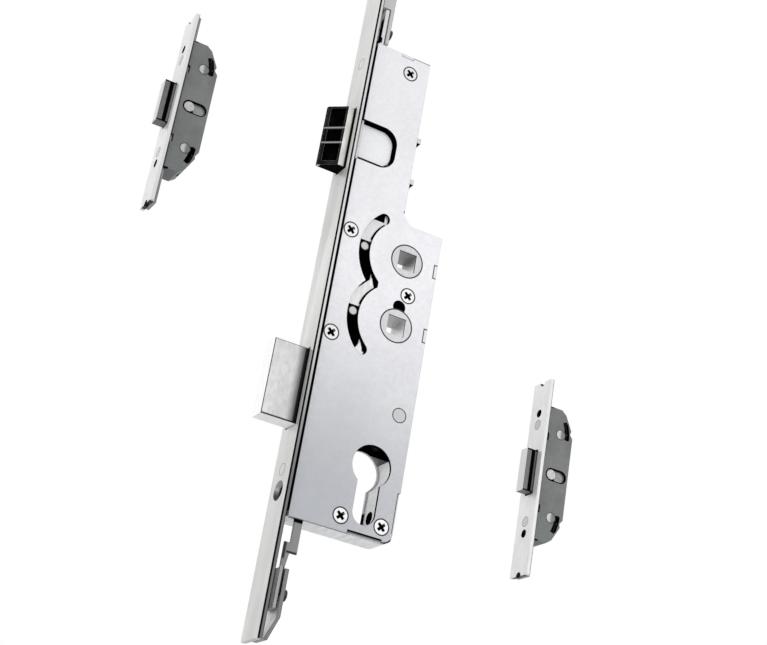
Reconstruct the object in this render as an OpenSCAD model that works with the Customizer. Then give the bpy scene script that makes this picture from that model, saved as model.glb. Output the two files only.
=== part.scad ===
// Multipoint door lock for a caravan or static-home door: the centre gearbox with its faceplate,
// and the upper and lower deadbolt boxes, each on its own length of the same faceplate.
// X = 0 is the front of the centre faceplate and +X goes into the door edge.
// Z = 0 is the axis of the upper spindle, and Y = 0 is the middle of the case's thickness.

/* [Centre faceplate] */
// Width of every faceplate
plate_w = 16; // [15:1:20]
// Thickness of every faceplate
plate_t = 2; // [1.8:0.1:2.4]
// Height of the faceplate's upper cut end
plate_top = 140; // [136:1:150]
// Height of the faceplate's lower cut end
plate_bottom = -170.6; // [-178:0.2:-169]
// Radius of the rivets that hold the case to the faceplate
plate_rivet_r = 2.5; // [2:0.1:3]
// Height of the upper faceplate rivet
plate_rivet_top_z = 86.9; // [84:0.1:90]
// Height of the lower faceplate rivet
plate_rivet_low_z = -102.4; // [-104:0.1:-98]
// Radius of the cylinder screw's hole
screw_hole_r = 2.7; // [2.5:0.1:3]
// Radius of the countersink round the cylinder screw's hole
screw_sink_r = 4.2; // [3.8:0.1:4.6]

/* [Centre case] */
// Outside thickness of the case
case_t = 13; // [12.8:0.2:16]
// Thickness of the cover and of the tray's floor
sheet_t = 1.3; // [1.2:0.1:1.4]
// Thickness of the tray's front wall
front_wall_t = 1; // [0.8:0.1:1.1]
// Distance from the faceplate's front to the case's front edge
case_front = 3.4; // [3.2:0.1:3.5]
// Height of the case's top edge
case_top = 96.4; // [95:0.2:97.4]
// Height of the case's bottom edge
case_bottom = -121.6; // [-124:0.2:-121]
// Distance from the faceplate's front to the back edge of the upper neck
neck_back = 30; // [29.6:0.2:32]
// Distance from the faceplate's front to the case's back edge
case_back = 49.6; // [48.6:0.2:54]
// Height of the step between the neck and the wide part
step_z = 16.3; // [15:0.1:17]
// Size of the slanted corner in that step
step_chamfer = 4; // [2:0.2:4.4]
// Radius of the case's lower back corner
corner_r = 5; // [3:0.5:5.5]
// Width of the locating tabs along the case's edges
tab_w = 5.6; // [4:0.2:7]
// Height of the cover's lower step at the back edge
cover_step_z = -99.6; // [-103:0.2:-97]
// Depth of the cover's lower step at the back edge
cover_step_d = 1; // [0.6:0.1:1.2]

/* [Spindles and cylinder] */
// Distance from the faceplate's front to the spindle and cylinder axes
backset = 35; // [34.6:0.2:36.6]
// Distance between the two spindle axes
spindle_pitch = 30; // [29.6:0.1:31]
// Distance from the upper spindle's axis to the cylinder's axis
cylinder_drop = 92; // [91:0.5:92.5]
// Side of the square spindle socket
socket_w = 8.2; // [8:0.1:9]
// Radius of each follower's collar
collar_r = 7.25; // [7:0.05:7.5]
// Running clearance of a collar in its plate
collar_gap = 0.05; // [0.02:0.01:0.1]
// Radius of each follower's flange between the plates
flange_r = 8.6; // [8.2:0.1:9]
// Radius of the cylinder hole's round part
cyl_r = 8.75; // [8.5:0.05:9]
// Width of the cylinder hole's stem
cyl_stem_w = 10.2; // [10:0.1:11]
// Distance from the cylinder's axis to the lower end of its stem
cyl_stem_drop = 24.7; // [24:0.1:25.4]
// Distance from the cylinder's axis down to its fixing screw
cyl_screw_drop = 19.2; // [18.5:0.1:19.8]
// Radius of the round lobe in the cover above the lower follower
lobe_r = 2.9; // [2.4:0.1:3.2]

/* [Drive] */
// Radius at which the follower's pin swings
arm_r = 20.3; // [20:0.05:20.6]
// Radius of the follower's pin
pin_r = 2; // [1.8:0.05:2.1]
// Width of the curved slots in the cover
arc_w = 5.1; // [4.6:0.1:5.4]
// Half the angle of each curved slot
arc_half = 48; // [45:1:50]
// Thickness of the follower's arm
arm_t = 3; // [2.4:0.1:3.2]
// Radius of the arm's rounded end
arm_end_r = 3.4; // [3:0.1:3.5]
// Greatest turn of the spindles
turn = 40; // [36:1:40]
// Travel of the drive slide for that turn
lift = 13.963; // [12.6:0.001:13.963]
// Thickness of the drive slide
slide_t = 1.1; // [1:0.05:1.2]
// Clearance between the drive slide and the cover
slide_gap = 0.05; // [0.03:0.01:0.1]
// Clearance between a pin and the finger that it lifts
lift_gap = 0.45; // [0.4:0.05:0.6]
// Height of each finger that a pin lifts
finger_h = 10; // [8:0.5:10.5]
// Thickness of the drive bars behind the faceplate
bar_t = 1.7; // [1.5:0.1:1.8]
// Distance from the faceplate's front to the inner drive bars
bar_x = 4.8; // [4.6:0.1:4.9]
// Width of the inner drive bars
bar_w = 9; // [8:0.5:9.4]
// Distance from the faceplate's front to the outer connecting bars
link_x = 7.1; // [7:0.1:7.6]
// Width of the outer connecting bars
link_w = 10; // [9:0.5:12]
// Radius of the rivets' heads on the connecting bars
link_rivet_r = 2.8; // [2.2:0.1:3.2]
// Height of those heads
link_rivet_h = 2.3; // [1:0.1:2.6]

/* [Latch] */
// Height of the latch's centre
latch_z = 47.6; // [47:0.1:48]
// Height of the latch head
latch_h = 29; // [27:0.5:29]
// Distance that the latch stands out of the faceplate
latch_out = 10; // [9.8:0.1:11]
// Thickness of the latch's blunt tip
latch_tip_t = 1.4; // [1:0.1:2]
// Length of the flat part behind the latch's bevel
latch_flat = 3; // [2.4:0.1:3.4]
// Travel of the latch
latch_travel = 9.5; // [8.6:0.1:9.5]
// Height of the latch's tail
tail_h = 16.8; // [15:0.2:17]
// Distance from the faceplate's front to the tail's back end
tail_back = 20; // [19.4:0.1:20.2]
// Radius of the D window's corners
window_r = 7; // [5:0.5:8]
// Distance from the faceplate's front to the D window's back edge
window_back = 21; // [20.6:0.1:21.6]
// Height of the D window
window_h = 19.4; // [18.6:0.1:20]

/* [Deadbolt] */
// Height of the deadbolt's centre
bolt_z = -67.8; // [-68.2:0.1:-67.4]
// Height of the deadbolt
bolt_h = 32.5; // [30:0.5:32.5]
// Distance that the thrown deadbolt stands out of the faceplate
bolt_out = 15.1; // [14.8:0.1:16]
// Height of the key lever's pivot
key_z = -67.6; // [-68:0.1:-67.2]
// Distance from the faceplate's front to the key lever's pivot
key_x = 43.3; // [43:0.1:43.5]
// Length of the key lever's long arm
key_arm = 18; // [17.8:0.1:18.2]
// Angle of that arm from upright at rest
key_angle = 50; // [49.5:0.1:50.4]
// Radius of the key lever's pin
key_pin_r = 1.7; // [1.5:0.1:1.8]

/* [Upper and lower deadbolt boxes] */
// Place of the upper box's faceplate front
upper_box_at = [-49, 120, 100.5];
// Place of the lower box's faceplate front
lower_box_at = [183.5, 120, -23.5];
// Height of the upper cut end of a box's faceplate
box_plate_top = 50.9; // [50:0.5:56]
// Height of the lower cut end of a box's faceplate
box_plate_bottom = -55.7; // [-60:0.5:-54.5]
// Half the height of a box
box_half = 36.5; // [36:0.5:38]
// Outside thickness of a box
box_t = 13; // [12.8:0.2:14]
// Distance from the faceplate's front to a box's back edge
box_back = 18.2; // [18:0.1:20]
// Thickness of a box's sheets
box_sheet = 1.2; // [1:0.1:1.2]
// Height of a box's deadbolt
box_bolt_h = 23; // [21:0.5:23]
// Thickness of a box's deadbolt
box_bolt_t = 6.2; // [5.8:0.1:6.4]
// Distance that a box's thrown deadbolt stands out of the faceplate
box_bolt_out = 5.9; // [5.8:0.1:7]
// Travel of a box's deadbolt
box_bolt_travel = 5.7; // [5.1:0.1:5.7]
// Radius of the guide stud on that deadbolt
stud_r = 2.65; // [2.4:0.05:2.7]
// Radius of the pin below that stud
stud_pin_r = 1.7; // [1.5:0.05:1.8]
// Clearance round the stud
stud_gap = 0.3; // [0.25:0.05:0.35]
// Radius of the rivets through a box
box_rivet_r = 2.6; // [2.2:0.1:2.7]
// Height of those rivets from the box's middle
box_rivet_z = 22.8; // [22.6:0.1:23.4]
// Distance from the faceplate's front to those rivets
box_rivet_x = 10.9; // [10.5:0.1:11.4]
// Height of the rivets through a box's faceplate from its middle
box_plate_rivet_z = 26.7; // [26:0.1:28]
// Height of the door screws' holes from the box's middle
door_screw_z = 33.1; // [32.8:0.1:34]
// Radius of the door screws' holes
door_screw_r = 2.2; // [2:0.1:2.3]

/* [Fits and fasteners] */
// Radius of the cover screws' heads
head_r = 3.4; // [3:0.1:3.5]
// Radius of the cover screws' shanks
shank_r = 1.5; // [1.4:0.05:1.6]
// Clearance round a screw's head
head_gap = 0.15; // [0.1:0.05:0.25]
// Radius of the posts that the cover screws enter
post_r = 3.5; // [3.3:0.1:3.6]
// Half the width of the faceplate's bolt openings
slot_half_w = 5; // [4.8:0.1:5.2]
// Clearance above and below a bolt
bolt_gap = 0.7; // [0.5:0.1:0.8]
// Clearance between neighbouring moving pieces
play = 0.2; // [0.15:0.05:0.25]
// Clearance of a pivot in its hole
pivot_gap = 0.05; // [0.03:0.01:0.1]

/* [Hidden] */
$fn = 64;
eps = 0.01;
hair = 0.003;
// Layers across the case, from the near side at -Y to the far side
near_out = -case_t / 2;
near_in = near_out + sheet_t;
far_out = case_t / 2;
far_in = far_out - sheet_t;
slide_near = near_in + slide_gap;
slide_far = slide_near + slide_t;
bolt_near = slide_far + play;
bolt_far = far_in - 0.8;
arm_near = bolt_near + 0.1;
arm_far = arm_near + arm_t;
lever_far = far_in - 0.8;
// Inside faces of the tray's walls
front_in = case_front + front_wall_t;
neck_in = neck_back - sheet_t;
back_in = case_back - sheet_t;
lower_z = -spindle_pitch;
cyl_z = -cylinder_drop;
cyl_screw_z = cyl_z - cyl_screw_drop;
latch_low = latch_z - latch_h / 2;
latch_high = latch_z + latch_h / 2;
bolt_low = bolt_z - bolt_h / 2;
bolt_high = bolt_z + bolt_h / 2;
// Cover screws: the last one enters the cylinder screw's block, the others enter posts
block_screw = [43.6, -115.2];
screw_block_top = cyl_z + 4.7;
screw_block_gap = 0.5;
post_screws = [[21.2, 88], [7.2, 4.8], [7, -42.4], [38.1, -15.2], [25.3, -115.4]];
cover_screw_places = concat(post_screws, [block_screw]);
// Depth of a cover screw in its post
thread_depth = 3.3;
// Cross recess of a cover screw
cross_l = 4;
cross_w = 1.1;
cross_depth = 1.4;
cross_floor = 1;
// Depth of the holes that the cover screws enter
thread_floor = near_in + thread_depth + 0.3;
// Top tab of the tray from front to back, the room round each tab, and the notch in the cover's foot
top_tab = [16, 21.6];
tab_gap = 0.15;
foot_notch_x = backset - 5.5;
foot_notch_d = 0.8;
// Latch lever: its pivot lies halfway along its tip's travel
latch_lever_r = latch_travel / (2 * sin(turn / 2));
latch_lever_x = 22.3;
latch_lever_z = 30;
latch_lever_tip_r = 1.8;
latch_tip_x = latch_lever_x - latch_travel / 2;
latch_tip_z = latch_lever_z + latch_lever_r * cos(turn / 2);
lever_near = 1.2;
small_wire_r = 0.35;
return_wire_r = 0.55;
return_coil_r = collar_r + 1.1;
coil_gap = 0.05;
latch_spring_sweep = 650;
small_legs = [5.6, 10];
return_sweep = 810;
return_legs = [13, 7];
flange_far = 0.6;
tail_far = 0.8;
tail_mid = latch_z + 0.4;
tail_low = tail_mid - tail_h / 2;
tail_high = tail_mid + tail_h / 2;
tail_corner_r = 6;
nub_t = 2.4;
tail_lug_x = latch_tip_x + latch_lever_tip_r + 0.35;
tail_lug_t = 1.2;
tail_lug_low = latch_tip_z + 0.2;
tail_lug_high = tail_lug_low + 4.4;
latch_lever_far = 2.8;
latch_stud_r = 2.4;
latch_hub_r = 4.2;
small_coil_r = latch_stud_r + 0.8;
latch_foot_angle = 232.9;
latch_foot_r = 15.4;
head_back = 3.2;
// Hollows in the latch's bevel, as shares of its height from below
latch_pockets = [[0.07, 0.36], [0.4, 0.61], [0.65, 0.97]];
// How far the hollows stay from the latch's tip and from its flat, and their depth
pocket_tip = 1.2;
pocket_back = 0.8;
pocket_depth = 4;
// Drive slide: its spine runs behind the curved slots, and its arms reach the drive bars
spine_x0 = 24.4;
spine_x1 = backset - collar_r - 0.45;
finger_x0 = 11.5;
neck_spine_x0 = 23.5;
bridge_z = 64;
bridge_h = 5;
tail_run_x0 = 11.5;
tail_run_x1 = 16.5;
tail_run_top = -45.5;
tail_run_low = -108;
slide_band = 4;
leg_x0 = 7.2;
leg_x1 = 10.6;
foot_top = -131.3;
foot_low = -135.3;
foot_x0 = bar_x;
low_bar_top = -141.5;
low_bar_low = -157.5;
top_bar_low = bridge_z - 0.5;
top_bar_high = 115.5;
link_top_low = 98.4;
link_top_end = plate_top - 0.4;
block_z0 = top_bar_high + 0.7;
block_z1 = 124;
link_bend_low = block_z1 + 1;
link_bend_high = block_z1 + 8;
link_low_top = -141.5;
link_low_bend = -160.3;
link_low_end = plate_bottom + 0.7;
link_low_x = 3.5;
rail_x = plate_t + 0.2;
rivet_shoulder = 1.2;
top_rivet_z = 106.8;
low_rivet_z = -150.7;
// Curved slots: the angle that each reaches past the other, how far they lap, and their blunt inner end
arc_meet = 62;
slot_lap = 0.4;
cusp_depth = 2.3;
cusp_x = backset - arm_r * cos(arc_half) + cusp_depth;
// How much a slot's round end is narrower than the slot, so that it crosses the slot's end cleanly
end_ease = 0.02;
finger_top_low = pin_r + lift_gap;
// Fingers of the drive slide: the knee and the tip of each one's slanted top, above its spindle's axis,
// and the curved gap between a finger and the spine
upper_knee = [17, finger_top_low + finger_h + 1.35];
upper_tip = [23.6, finger_top_low + finger_h + 6];
lower_knee = [16, finger_top_low + finger_h - 0.55];
lower_tip = [21.1, finger_top_low + finger_h + 5.1];
lower_inner = [22.6, finger_top_low + finger_h + 1.05];
finger_gap_r = arm_r - arc_w / 2 - 0.85;
finger_gap_w = 1.5;
upper_gap = [14, 46];
lower_gap = [14, 50];
upper_slope = 2.5;
lower_slope = 3;
// Lug on the upper finger that lifts the latch lever: its width, and how it stands on the finger
lift_lug_w = 2.8;
lift_lug_x = finger_x0 + 0.2;
lift_lug_low = finger_top_low + 4;
lift_lug_high = finger_top_low + finger_h - 1.2;
// Deadbolt: head, tail arm and the slot that the key lever's pin moves in
bolt_head_back = 9.9;
key_tip_x = key_x - key_arm * sin(key_angle);
key_tip_z = key_z + key_arm * cos(key_angle);
// Room for the pin in the deadbolt's slot, more of it in front because the pin lags there
key_slot_front = 1.15;
key_slot_back = 0.35;
bolt_tail_back = key_tip_x + key_pin_r + key_slot_back + 1.2;
bolt_tail_far = 1.2;
bolt_tail_low = key_z + 3.6;
bolt_tail_high = -48;
key_near = bolt_tail_far + play;
key_hub_r = 4.4;
key_tip_r = 2.6;
key_foot = [3.4, 12];
key_foot_r = 2.2;
fork_w = 8;
rivet_head_r = 3;
// Boxes
box_near_out = -box_t / 2;
box_near_in = box_near_out + box_sheet;
box_far_out = box_t / 2;
box_far_in = box_far_out - box_sheet;
box_front = 2.7;
box_front_in = 4;
box_wall = 1.2;
rail_t = 1.5;
rail_half_w = 5.1;
stud_x = 8.05;
slot_r = stud_r + stud_gap;
cam_near = box_near_in + 0.2;
cam_far = cam_near + 1.6;
cam_wall = 2.2;
cam_top = stud_pin_r + stud_gap + cam_wall;
cam_low = -lift - cam_top;
cam_back = box_back - box_wall - 0.3;
box_window_half = 3.4;
box_neck_half = 4;
box_head_back = box_front_in + box_wall + 1.3;
stud_sink = 0.1;
// Room above and below the cam plate in a box's front wall, and the ends of the rail's long window
cam_gap = 0.6;
rail_window_low = box_plate_bottom + 5;
rail_window_high = box_plate_top - 12;
// Two notches in the front edge of a box's cover
box_notch_z = 19.8;
box_notch_half = 2.1;
box_notch_d = 1.1;
// Corners of a box's sloped back: three down the slope, the notch, and the end of the back edge
box_slope = [[10, 0], [12.9, 2.3], [17, 26.6], [16.5, 24.5], 22.4];
// Curved slots of a box's cover
curve_x = -10.2;
curve_z = 20.6;
curve_r = 24;
curve_w = 2;
curve_angle = 23;

// Shape drawn in X and Z, given thickness from y0 to y1
module upright(y0, y1) {
    translate([0, y1, 0]) rotate([90, 0, 0]) linear_extrude(y1 - y0) children();
}

// Round bar along Y
module round_y(x, z, r, y0, y1) {
    translate([x, y1, z]) rotate([90, 0, 0]) cylinder(r = r, h = y1 - y0);
}

// Round bar along X
module round_x(y, z, r, x0, x1) {
    translate([x0, y, z]) rotate([0, 90, 0]) cylinder(r = r, h = x1 - x0);
}

// Block between two corners
module block(x0, x1, y0, y1, z0, z1) {
    translate([x0, y0, z0]) cube([x1 - x0, y1 - y0, z1 - z0]);
}

// Countersunk hole along X that opens at x = 0
module sunk_hole(y, z, r, sink, depth) {
    round_x(y, z, r, -1, plate_t + 1);
    translate([0, y, z]) rotate([0, 90, 0]) {
        translate([0, 0, -1]) cylinder(r = sink, h = 1);
        cylinder(r1 = sink, r2 = r, h = depth);
    }
}

// Countersunk screw head seen from the near side, with its tip towards +Y
module sunk_head(x, z, gap) {
    translate([x, near_out, z]) rotate([-90, 0, 0]) {
        cylinder(r1 = head_r + gap, r2 = shank_r + gap, h = sheet_t - 0.1);
    }
}

// Solid of the case's outline from y0 to y1, with its sides moved in by a wall's thickness
module case_form(front, inset, y0, y1) {
    corner_x = case_back - corner_r;
    corner_z = case_bottom + corner_r;
    difference() {
        upright(y0, y1) polygon([
            [front, case_top - inset],
            [neck_back - inset, case_top - inset],
            [neck_back - inset, step_z - inset + step_chamfer],
            [neck_back - inset + step_chamfer, step_z - inset],
            [case_back - inset, step_z - inset],
            [case_back - inset, case_bottom + inset],
            [front, case_bottom + inset]
        ]);
        difference() {
            block(corner_x, case_back + 1, y0 - 1, y1 + 1, case_bottom - 1, corner_z);
            round_y(corner_x, corner_z, corner_r - inset, y0 - 2, y1 + 2);
        }
    }
}

// Cylinder hole: round part with a round-ended stem below it
module cylinder_hole(y0, y1) {
    round_y(backset, cyl_z, cyl_r, y0, y1);
    stem_end = cyl_z - cyl_stem_drop + cyl_stem_w / 2;
    block(backset - cyl_stem_w / 2, backset + cyl_stem_w / 2, y0, y1, stem_end, cyl_z);
    round_y(backset, stem_end, cyl_stem_w / 2, y0, y1);
}

// One curved slot, centred on a spindle axis, with a round free end and a blunt end where the two meet
module curved_slot(z, side) {
    y0 = near_out - 1;
    y1 = near_in + 1;
    above = side > 0 ? arc_half : arc_meet;
    below = side > 0 ? arc_meet : arc_half;
    intersection() {
        translate([backset, y1, z]) rotate([90, 180 + above, 0])
            rotate_extrude(angle = above + below)
                translate([arm_r - arc_w / 2, 0]) square([arc_w, y1 - y0]);
        block(0, cusp_x, y0 - 1, y1 + 1, side > 0 ? lower_z / 2 - slot_lap : case_bottom,
            side > 0 ? case_top : lower_z / 2 + slot_lap);
    }
    end_a = side * arc_half;
    round_y(backset - arm_r * cos(end_a), z + arm_r * sin(end_a), arc_w / 2 - end_ease, y0, y1);
}

// D shape: a block whose two back corners are rounded
module d_shape(x0, x1, r, low, high, y0, y1) {
    block(x0, x1 - r, y0, y1, low, high);
    block(x0, x1, y0, y1, low + r, high - r);
    round_y(x1 - r, low + r, r, y0, y1);
    round_y(x1 - r, high - r, r, y0, y1);
}

// Centre faceplate with its openings for the latch, the deadbolt, the rivets and the cylinder screw
module faceplate() {
    color("gainsboro") difference() {
        block(0, plate_t, -plate_w / 2, plate_w / 2, plate_bottom, plate_top);
        block(-1, plate_t + 1, -slot_half_w, slot_half_w, latch_low - bolt_gap, latch_high + bolt_gap);
        block(-1, plate_t + 1, -slot_half_w, slot_half_w, bolt_low - bolt_gap, bolt_high + bolt_gap);
        round_x(0, plate_rivet_top_z, plate_rivet_r, -1, plate_t + 1);
        round_x(0, plate_rivet_low_z, plate_rivet_r, -1, plate_t + 1);
        sunk_hole(0, cyl_screw_z, screw_hole_r, screw_sink_r, plate_t * 0.75);
    }
}

// Rivets with shouldered shanks that join the faceplate to the tray's front wall
module faceplate_rivets() {
    color("silver") for (z = [plate_rivet_top_z, plate_rivet_low_z]) {
        round_x(0, z, plate_rivet_r, 0, case_front);
        round_x(0, z, plate_rivet_r - 1, case_front - eps, front_in);
    }
}

// Tray: far sheet and the walls round it, with openings for what passes through them
module case_tray() {
    color("lightgray") difference() {
        union() {
            difference() {
                case_form(case_front, 0, near_in, far_out);
                case_form(front_in, sheet_t, near_in - 1, far_in);
            }
            tray_tabs(0);
            for (z = [tail_high + bolt_gap, tail_low - bolt_gap - nub_t])
                block(neck_in, neck_back + nub_t, near_in, near_in + 2 * nub_t, z, z + nub_t);
        }
        block(case_front - 1, front_in + 1, -slot_half_w, slot_half_w,
            latch_low - bolt_gap, latch_high + bolt_gap);
        block(case_front - 1, front_in + 1, -slot_half_w, slot_half_w,
            bolt_low - bolt_gap, bolt_high + bolt_gap);
        block(neck_in - 1, neck_back + 3, bolt_near - play, latch_lever_far + play,
            tail_low - bolt_gap, tail_high + bolt_gap);
        block(bar_x - play, bar_x + bar_t + play, near_in - 1, bar_w / 2 + play,
            case_top - sheet_t - 1, case_top + 1);
        block(bar_x - play, leg_x1 + play, near_in - 1, slide_far + play,
            case_bottom - 1, case_bottom + sheet_t + 1);
        round_x(0, plate_rivet_top_z, plate_rivet_r - 1, case_front - 1, front_in + 1);
        round_x(0, plate_rivet_low_z, plate_rivet_r - 1, case_front - 1, front_in + 1);
        round_x(0, cyl_screw_z, screw_hole_r, case_front - 1, front_in + 1);
        for (z = [0, lower_z]) round_y(backset, z, collar_r + collar_gap, far_in - 1, far_out + 1);
        cylinder_hole(far_in - 1, far_out + 1);
    }
}

// Tabs of the tray that stand up into notches in the cover's edges
module tray_tabs(gap) {
    for (z = [0, lower_z])
        block(back_in - gap, case_back + gap, near_out - (gap > 0 ? 1 : 0), near_in + eps,
            z - tab_w / 2 - gap, z + tab_w / 2 + gap);
    block(top_tab[0] - gap, top_tab[1] + gap, near_out - (gap > 0 ? 1 : 0), near_in + eps,
        case_top - sheet_t - gap, case_top + gap);
}

// Cover: the near sheet with the curved slots, the D window, the collars' holes and the cylinder hole
module case_cover() {
    color("whitesmoke") difference() {
        case_form(case_front, 0, near_out, near_in);
        tray_tabs(tab_gap);
        block(case_back - cover_step_d, case_back + 1, near_out - 1, near_in + 1,
            case_bottom - 1, cover_step_z);
        block(foot_notch_x, case_back - corner_r + 1, near_out - 1, near_in + 1,
            case_bottom - 1, case_bottom + foot_notch_d);
        for (z = [0, lower_z]) round_y(backset, z, collar_r + collar_gap, near_out - 1, near_in + 1);
        round_y(backset, lower_z + flange_r, lobe_r, near_out - 1, near_in + 1);
        curved_slot(0, 1);
        curved_slot(lower_z, -1);
        d_shape(0, window_back, window_r, latch_z - window_h / 2, latch_z + window_h / 2,
            near_out - 1, near_in + 1);
        cylinder_hole(near_out - 1, near_in + 1);
        for (p = cover_screw_places) {
            sunk_head(p[0], p[1], head_gap);
            round_y(p[0], p[1], shank_r + head_gap, near_out - 1, near_in + 1);
        }
        round_y(key_x, key_z, rivet_head_r, near_out - 1, near_in + 1);
    }
}

// Posts between the two sheets, cut off where they meet a wall
module cover_posts() {
    color("gray") intersection() {
        difference() {
            for (p = post_screws) round_y(p[0], p[1], post_r, near_in, far_in);
            for (p = post_screws) round_y(p[0], p[1], shank_r, near_in - 1, thread_floor);
            round_x(0, cyl_screw_z, screw_hole_r, case_front, case_back);
        }
        case_form(front_in, sheet_t, near_in - 1, far_in + 1);
    }
}

// Countersunk cross-head screws that hold the cover
module cover_screws() {
    color("silver") for (p = cover_screw_places) difference() {
        union() {
            sunk_head(p[0], p[1], 0);
            round_y(p[0], p[1], shank_r, near_out + sheet_t - 0.5, near_in + thread_depth);
        }
        for (a = [45, 135])
            translate([p[0], near_out + cross_floor - cross_depth / 2, p[1]]) rotate([0, a, 0])
                cube([cross_l, cross_depth, cross_w], center = true);
    }
}

// Block beside the cylinder hole that takes the end of the cylinder's fixing screw and one cover screw
module cylinder_screw_block() {
    color("silver") difference() {
        intersection() {
            block(backset + cyl_stem_w / 2 + screw_block_gap, back_in, near_in, far_in,
                case_bottom + sheet_t, screw_block_top);
            case_form(front_in, sheet_t, near_in - 1, far_in + 1);
        }
        round_y(backset, cyl_z, cyl_r + screw_block_gap, near_in - 1, far_in + 1);
        round_x(0, cyl_screw_z, screw_hole_r, backset, back_in - 1.5);
        round_y(block_screw[0], block_screw[1], shank_r, near_in - 1, thread_floor);
    }
}

// Rivet that the key lever turns on
module key_lever_rivet() {
    color("silver") {
        round_y(key_x, key_z, rivet_head_r, near_out, near_in + 1);
        round_y(key_x, key_z, rivet_head_r - 0.5, near_in + 1 - eps, far_in);
    }
}

// Stud on the tray that the latch lever turns on
module latch_lever_stud() {
    color("silver") round_y(latch_lever_x, latch_lever_z, latch_stud_r, tail_far, far_in);
}

// Latch head: a cast wedge with ribs across its hollow bevel
module latch_head() {
    tip_x = -latch_out;
    color("dimgray") difference() {
        translate([0, 0, latch_low]) linear_extrude(latch_h) polygon([
            [tip_x, bolt_far], [tip_x, bolt_far - latch_tip_t], [-latch_flat, bolt_near],
            [head_back, bolt_near], [head_back, bolt_far]
        ]);
        for (p = latch_pockets) {
            translate([0, 0, latch_low + p[0] * latch_h]) linear_extrude((p[1] - p[0]) * latch_h) polygon([
                [tip_x + pocket_tip, bolt_far - latch_tip_t - 2],
                [-latch_flat - pocket_back, bolt_near - 1],
                [-latch_flat - pocket_back, bolt_near + pocket_depth],
                [tip_x + pocket_tip, bolt_far - latch_tip_t - 0.3]
            ]);
        }
    }
}

// Latch tail: the sliding carriage behind the head, with the lug that the lever pulls
module latch_tail() {
    color("gainsboro") {
        d_shape(head_back, tail_back, tail_corner_r, tail_low, tail_high, bolt_near, tail_far);
        block(tail_back - tail_corner_r, tail_lug_x + tail_lug_t, tail_far - tail_lug_t, tail_far,
            tail_lug_low, tail_lug_high);
        block(tail_lug_x, tail_lug_x + tail_lug_t, tail_far - eps, latch_lever_far,
            tail_lug_low, tail_lug_high);
    }
}

// Torsion spring round a stud or a collar: a coil with a straight leg at each end.
// It is one round wire swept along its path, wound one way or the other.
module torsion_spring(at, r, wire_r, y0, y1, start, sweep, leg_a, leg_b) {
    sides = 6;
    way = sign(sweep);
    count = ceil(abs(sweep) / 15);
    coil = [for (i = [0:count]) let (a = start + sweep * i / count)
        [at[0] + r * cos(a), y0 + (y1 - y0) * i / count, at[1] + r * sin(a), a]];
    dirs = [for (c = coil) [-way * sin(c[3]), way * cos(c[3])]];
    first = [coil[0][0] - leg_a * dirs[0][0], y0, coil[0][2] - leg_a * dirs[0][1]];
    last = [coil[count][0] + leg_b * dirs[count][0], y1, coil[count][2] + leg_b * dirs[count][1]];
    path = concat([first], [for (c = coil) [c[0], c[1], c[2]]], [last]);
    turns = concat([dirs[0]], dirs, [dirs[count]]);
    ends = len(path) - 1;
    points = [for (i = [0:ends], j = [0:sides - 1]) let (b = 360 * j / sides)
        [path[i][0] + wire_r * cos(b) * turns[i][1], path[i][1] + wire_r * sin(b),
            path[i][2] - wire_r * cos(b) * turns[i][0]]];
    skin = [for (i = [0:ends - 1], j = [0:sides - 1], k = [0, 1])
        let (a = i * sides + j, b = i * sides + (j + 1) % sides)
            k == 0 ? [a, b + sides, b] : [a, a + sides, b + sides]];
    caps = [for (j = [1:sides - 2], k = [0, 1])
        k == 0 ? [0, j, j + 1] : [ends * sides, ends * sides + j + 1, ends * sides + j]];
    polyhedron(points = points, faces = concat(skin, caps));
}

module latch_spring() {
    y0 = latch_lever_far + play + small_wire_r;
    color("silver") torsion_spring([latch_lever_x, latch_lever_z], small_coil_r, small_wire_r,
        far_in - small_wire_r - coil_gap, y0, 90, latch_spring_sweep, small_legs[0], small_legs[1]);
}

module upper_return_spring() {
    color("silver") return_spring(0, 1);
}

module lower_return_spring() {
    color("silver") return_spring(lower_z, -1);
}

// Return spring of one follower, wound round its far collar
module return_spring(z, way) {
    torsion_spring([backset, z], return_coil_r, return_wire_r,
        far_in - return_wire_r - coil_gap, flange_far + play + return_wire_r,
        0, way * return_sweep, return_legs[0], return_legs[1]);
}

// Bar with round ends between two points, drawn in X and Z.
// Its straight part is a hair narrower than its ends, so that its edges cross them cleanly.
module rod_2d(p, q, r) {
    d = q - p;
    half = r - hair;
    translate(p) circle(r = r);
    translate(q) circle(r = r);
    translate(p) rotate(atan2(d[1], d[0])) translate([0, -half]) square([norm(d), 2 * half]);
}

// Bell crank that the drive slide lifts and that pulls the latch tail back
module latch_lever() {
    pivot = [latch_lever_x, latch_lever_z];
    foot = pivot + latch_foot_r * [cos(latch_foot_angle), sin(latch_foot_angle)];
    color("darkgray") difference() {
        upright(lever_near, latch_lever_far) {
            rod_2d(pivot, [latch_tip_x, latch_tip_z], latch_lever_tip_r);
            rod_2d(pivot, foot, latch_lever_tip_r);
            translate(pivot) circle(r = latch_hub_r);
        }
        round_y(latch_lever_x, latch_lever_z, latch_stud_r + pivot_gap,
            lever_near - 1, latch_lever_far + 1);
    }
}

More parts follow.
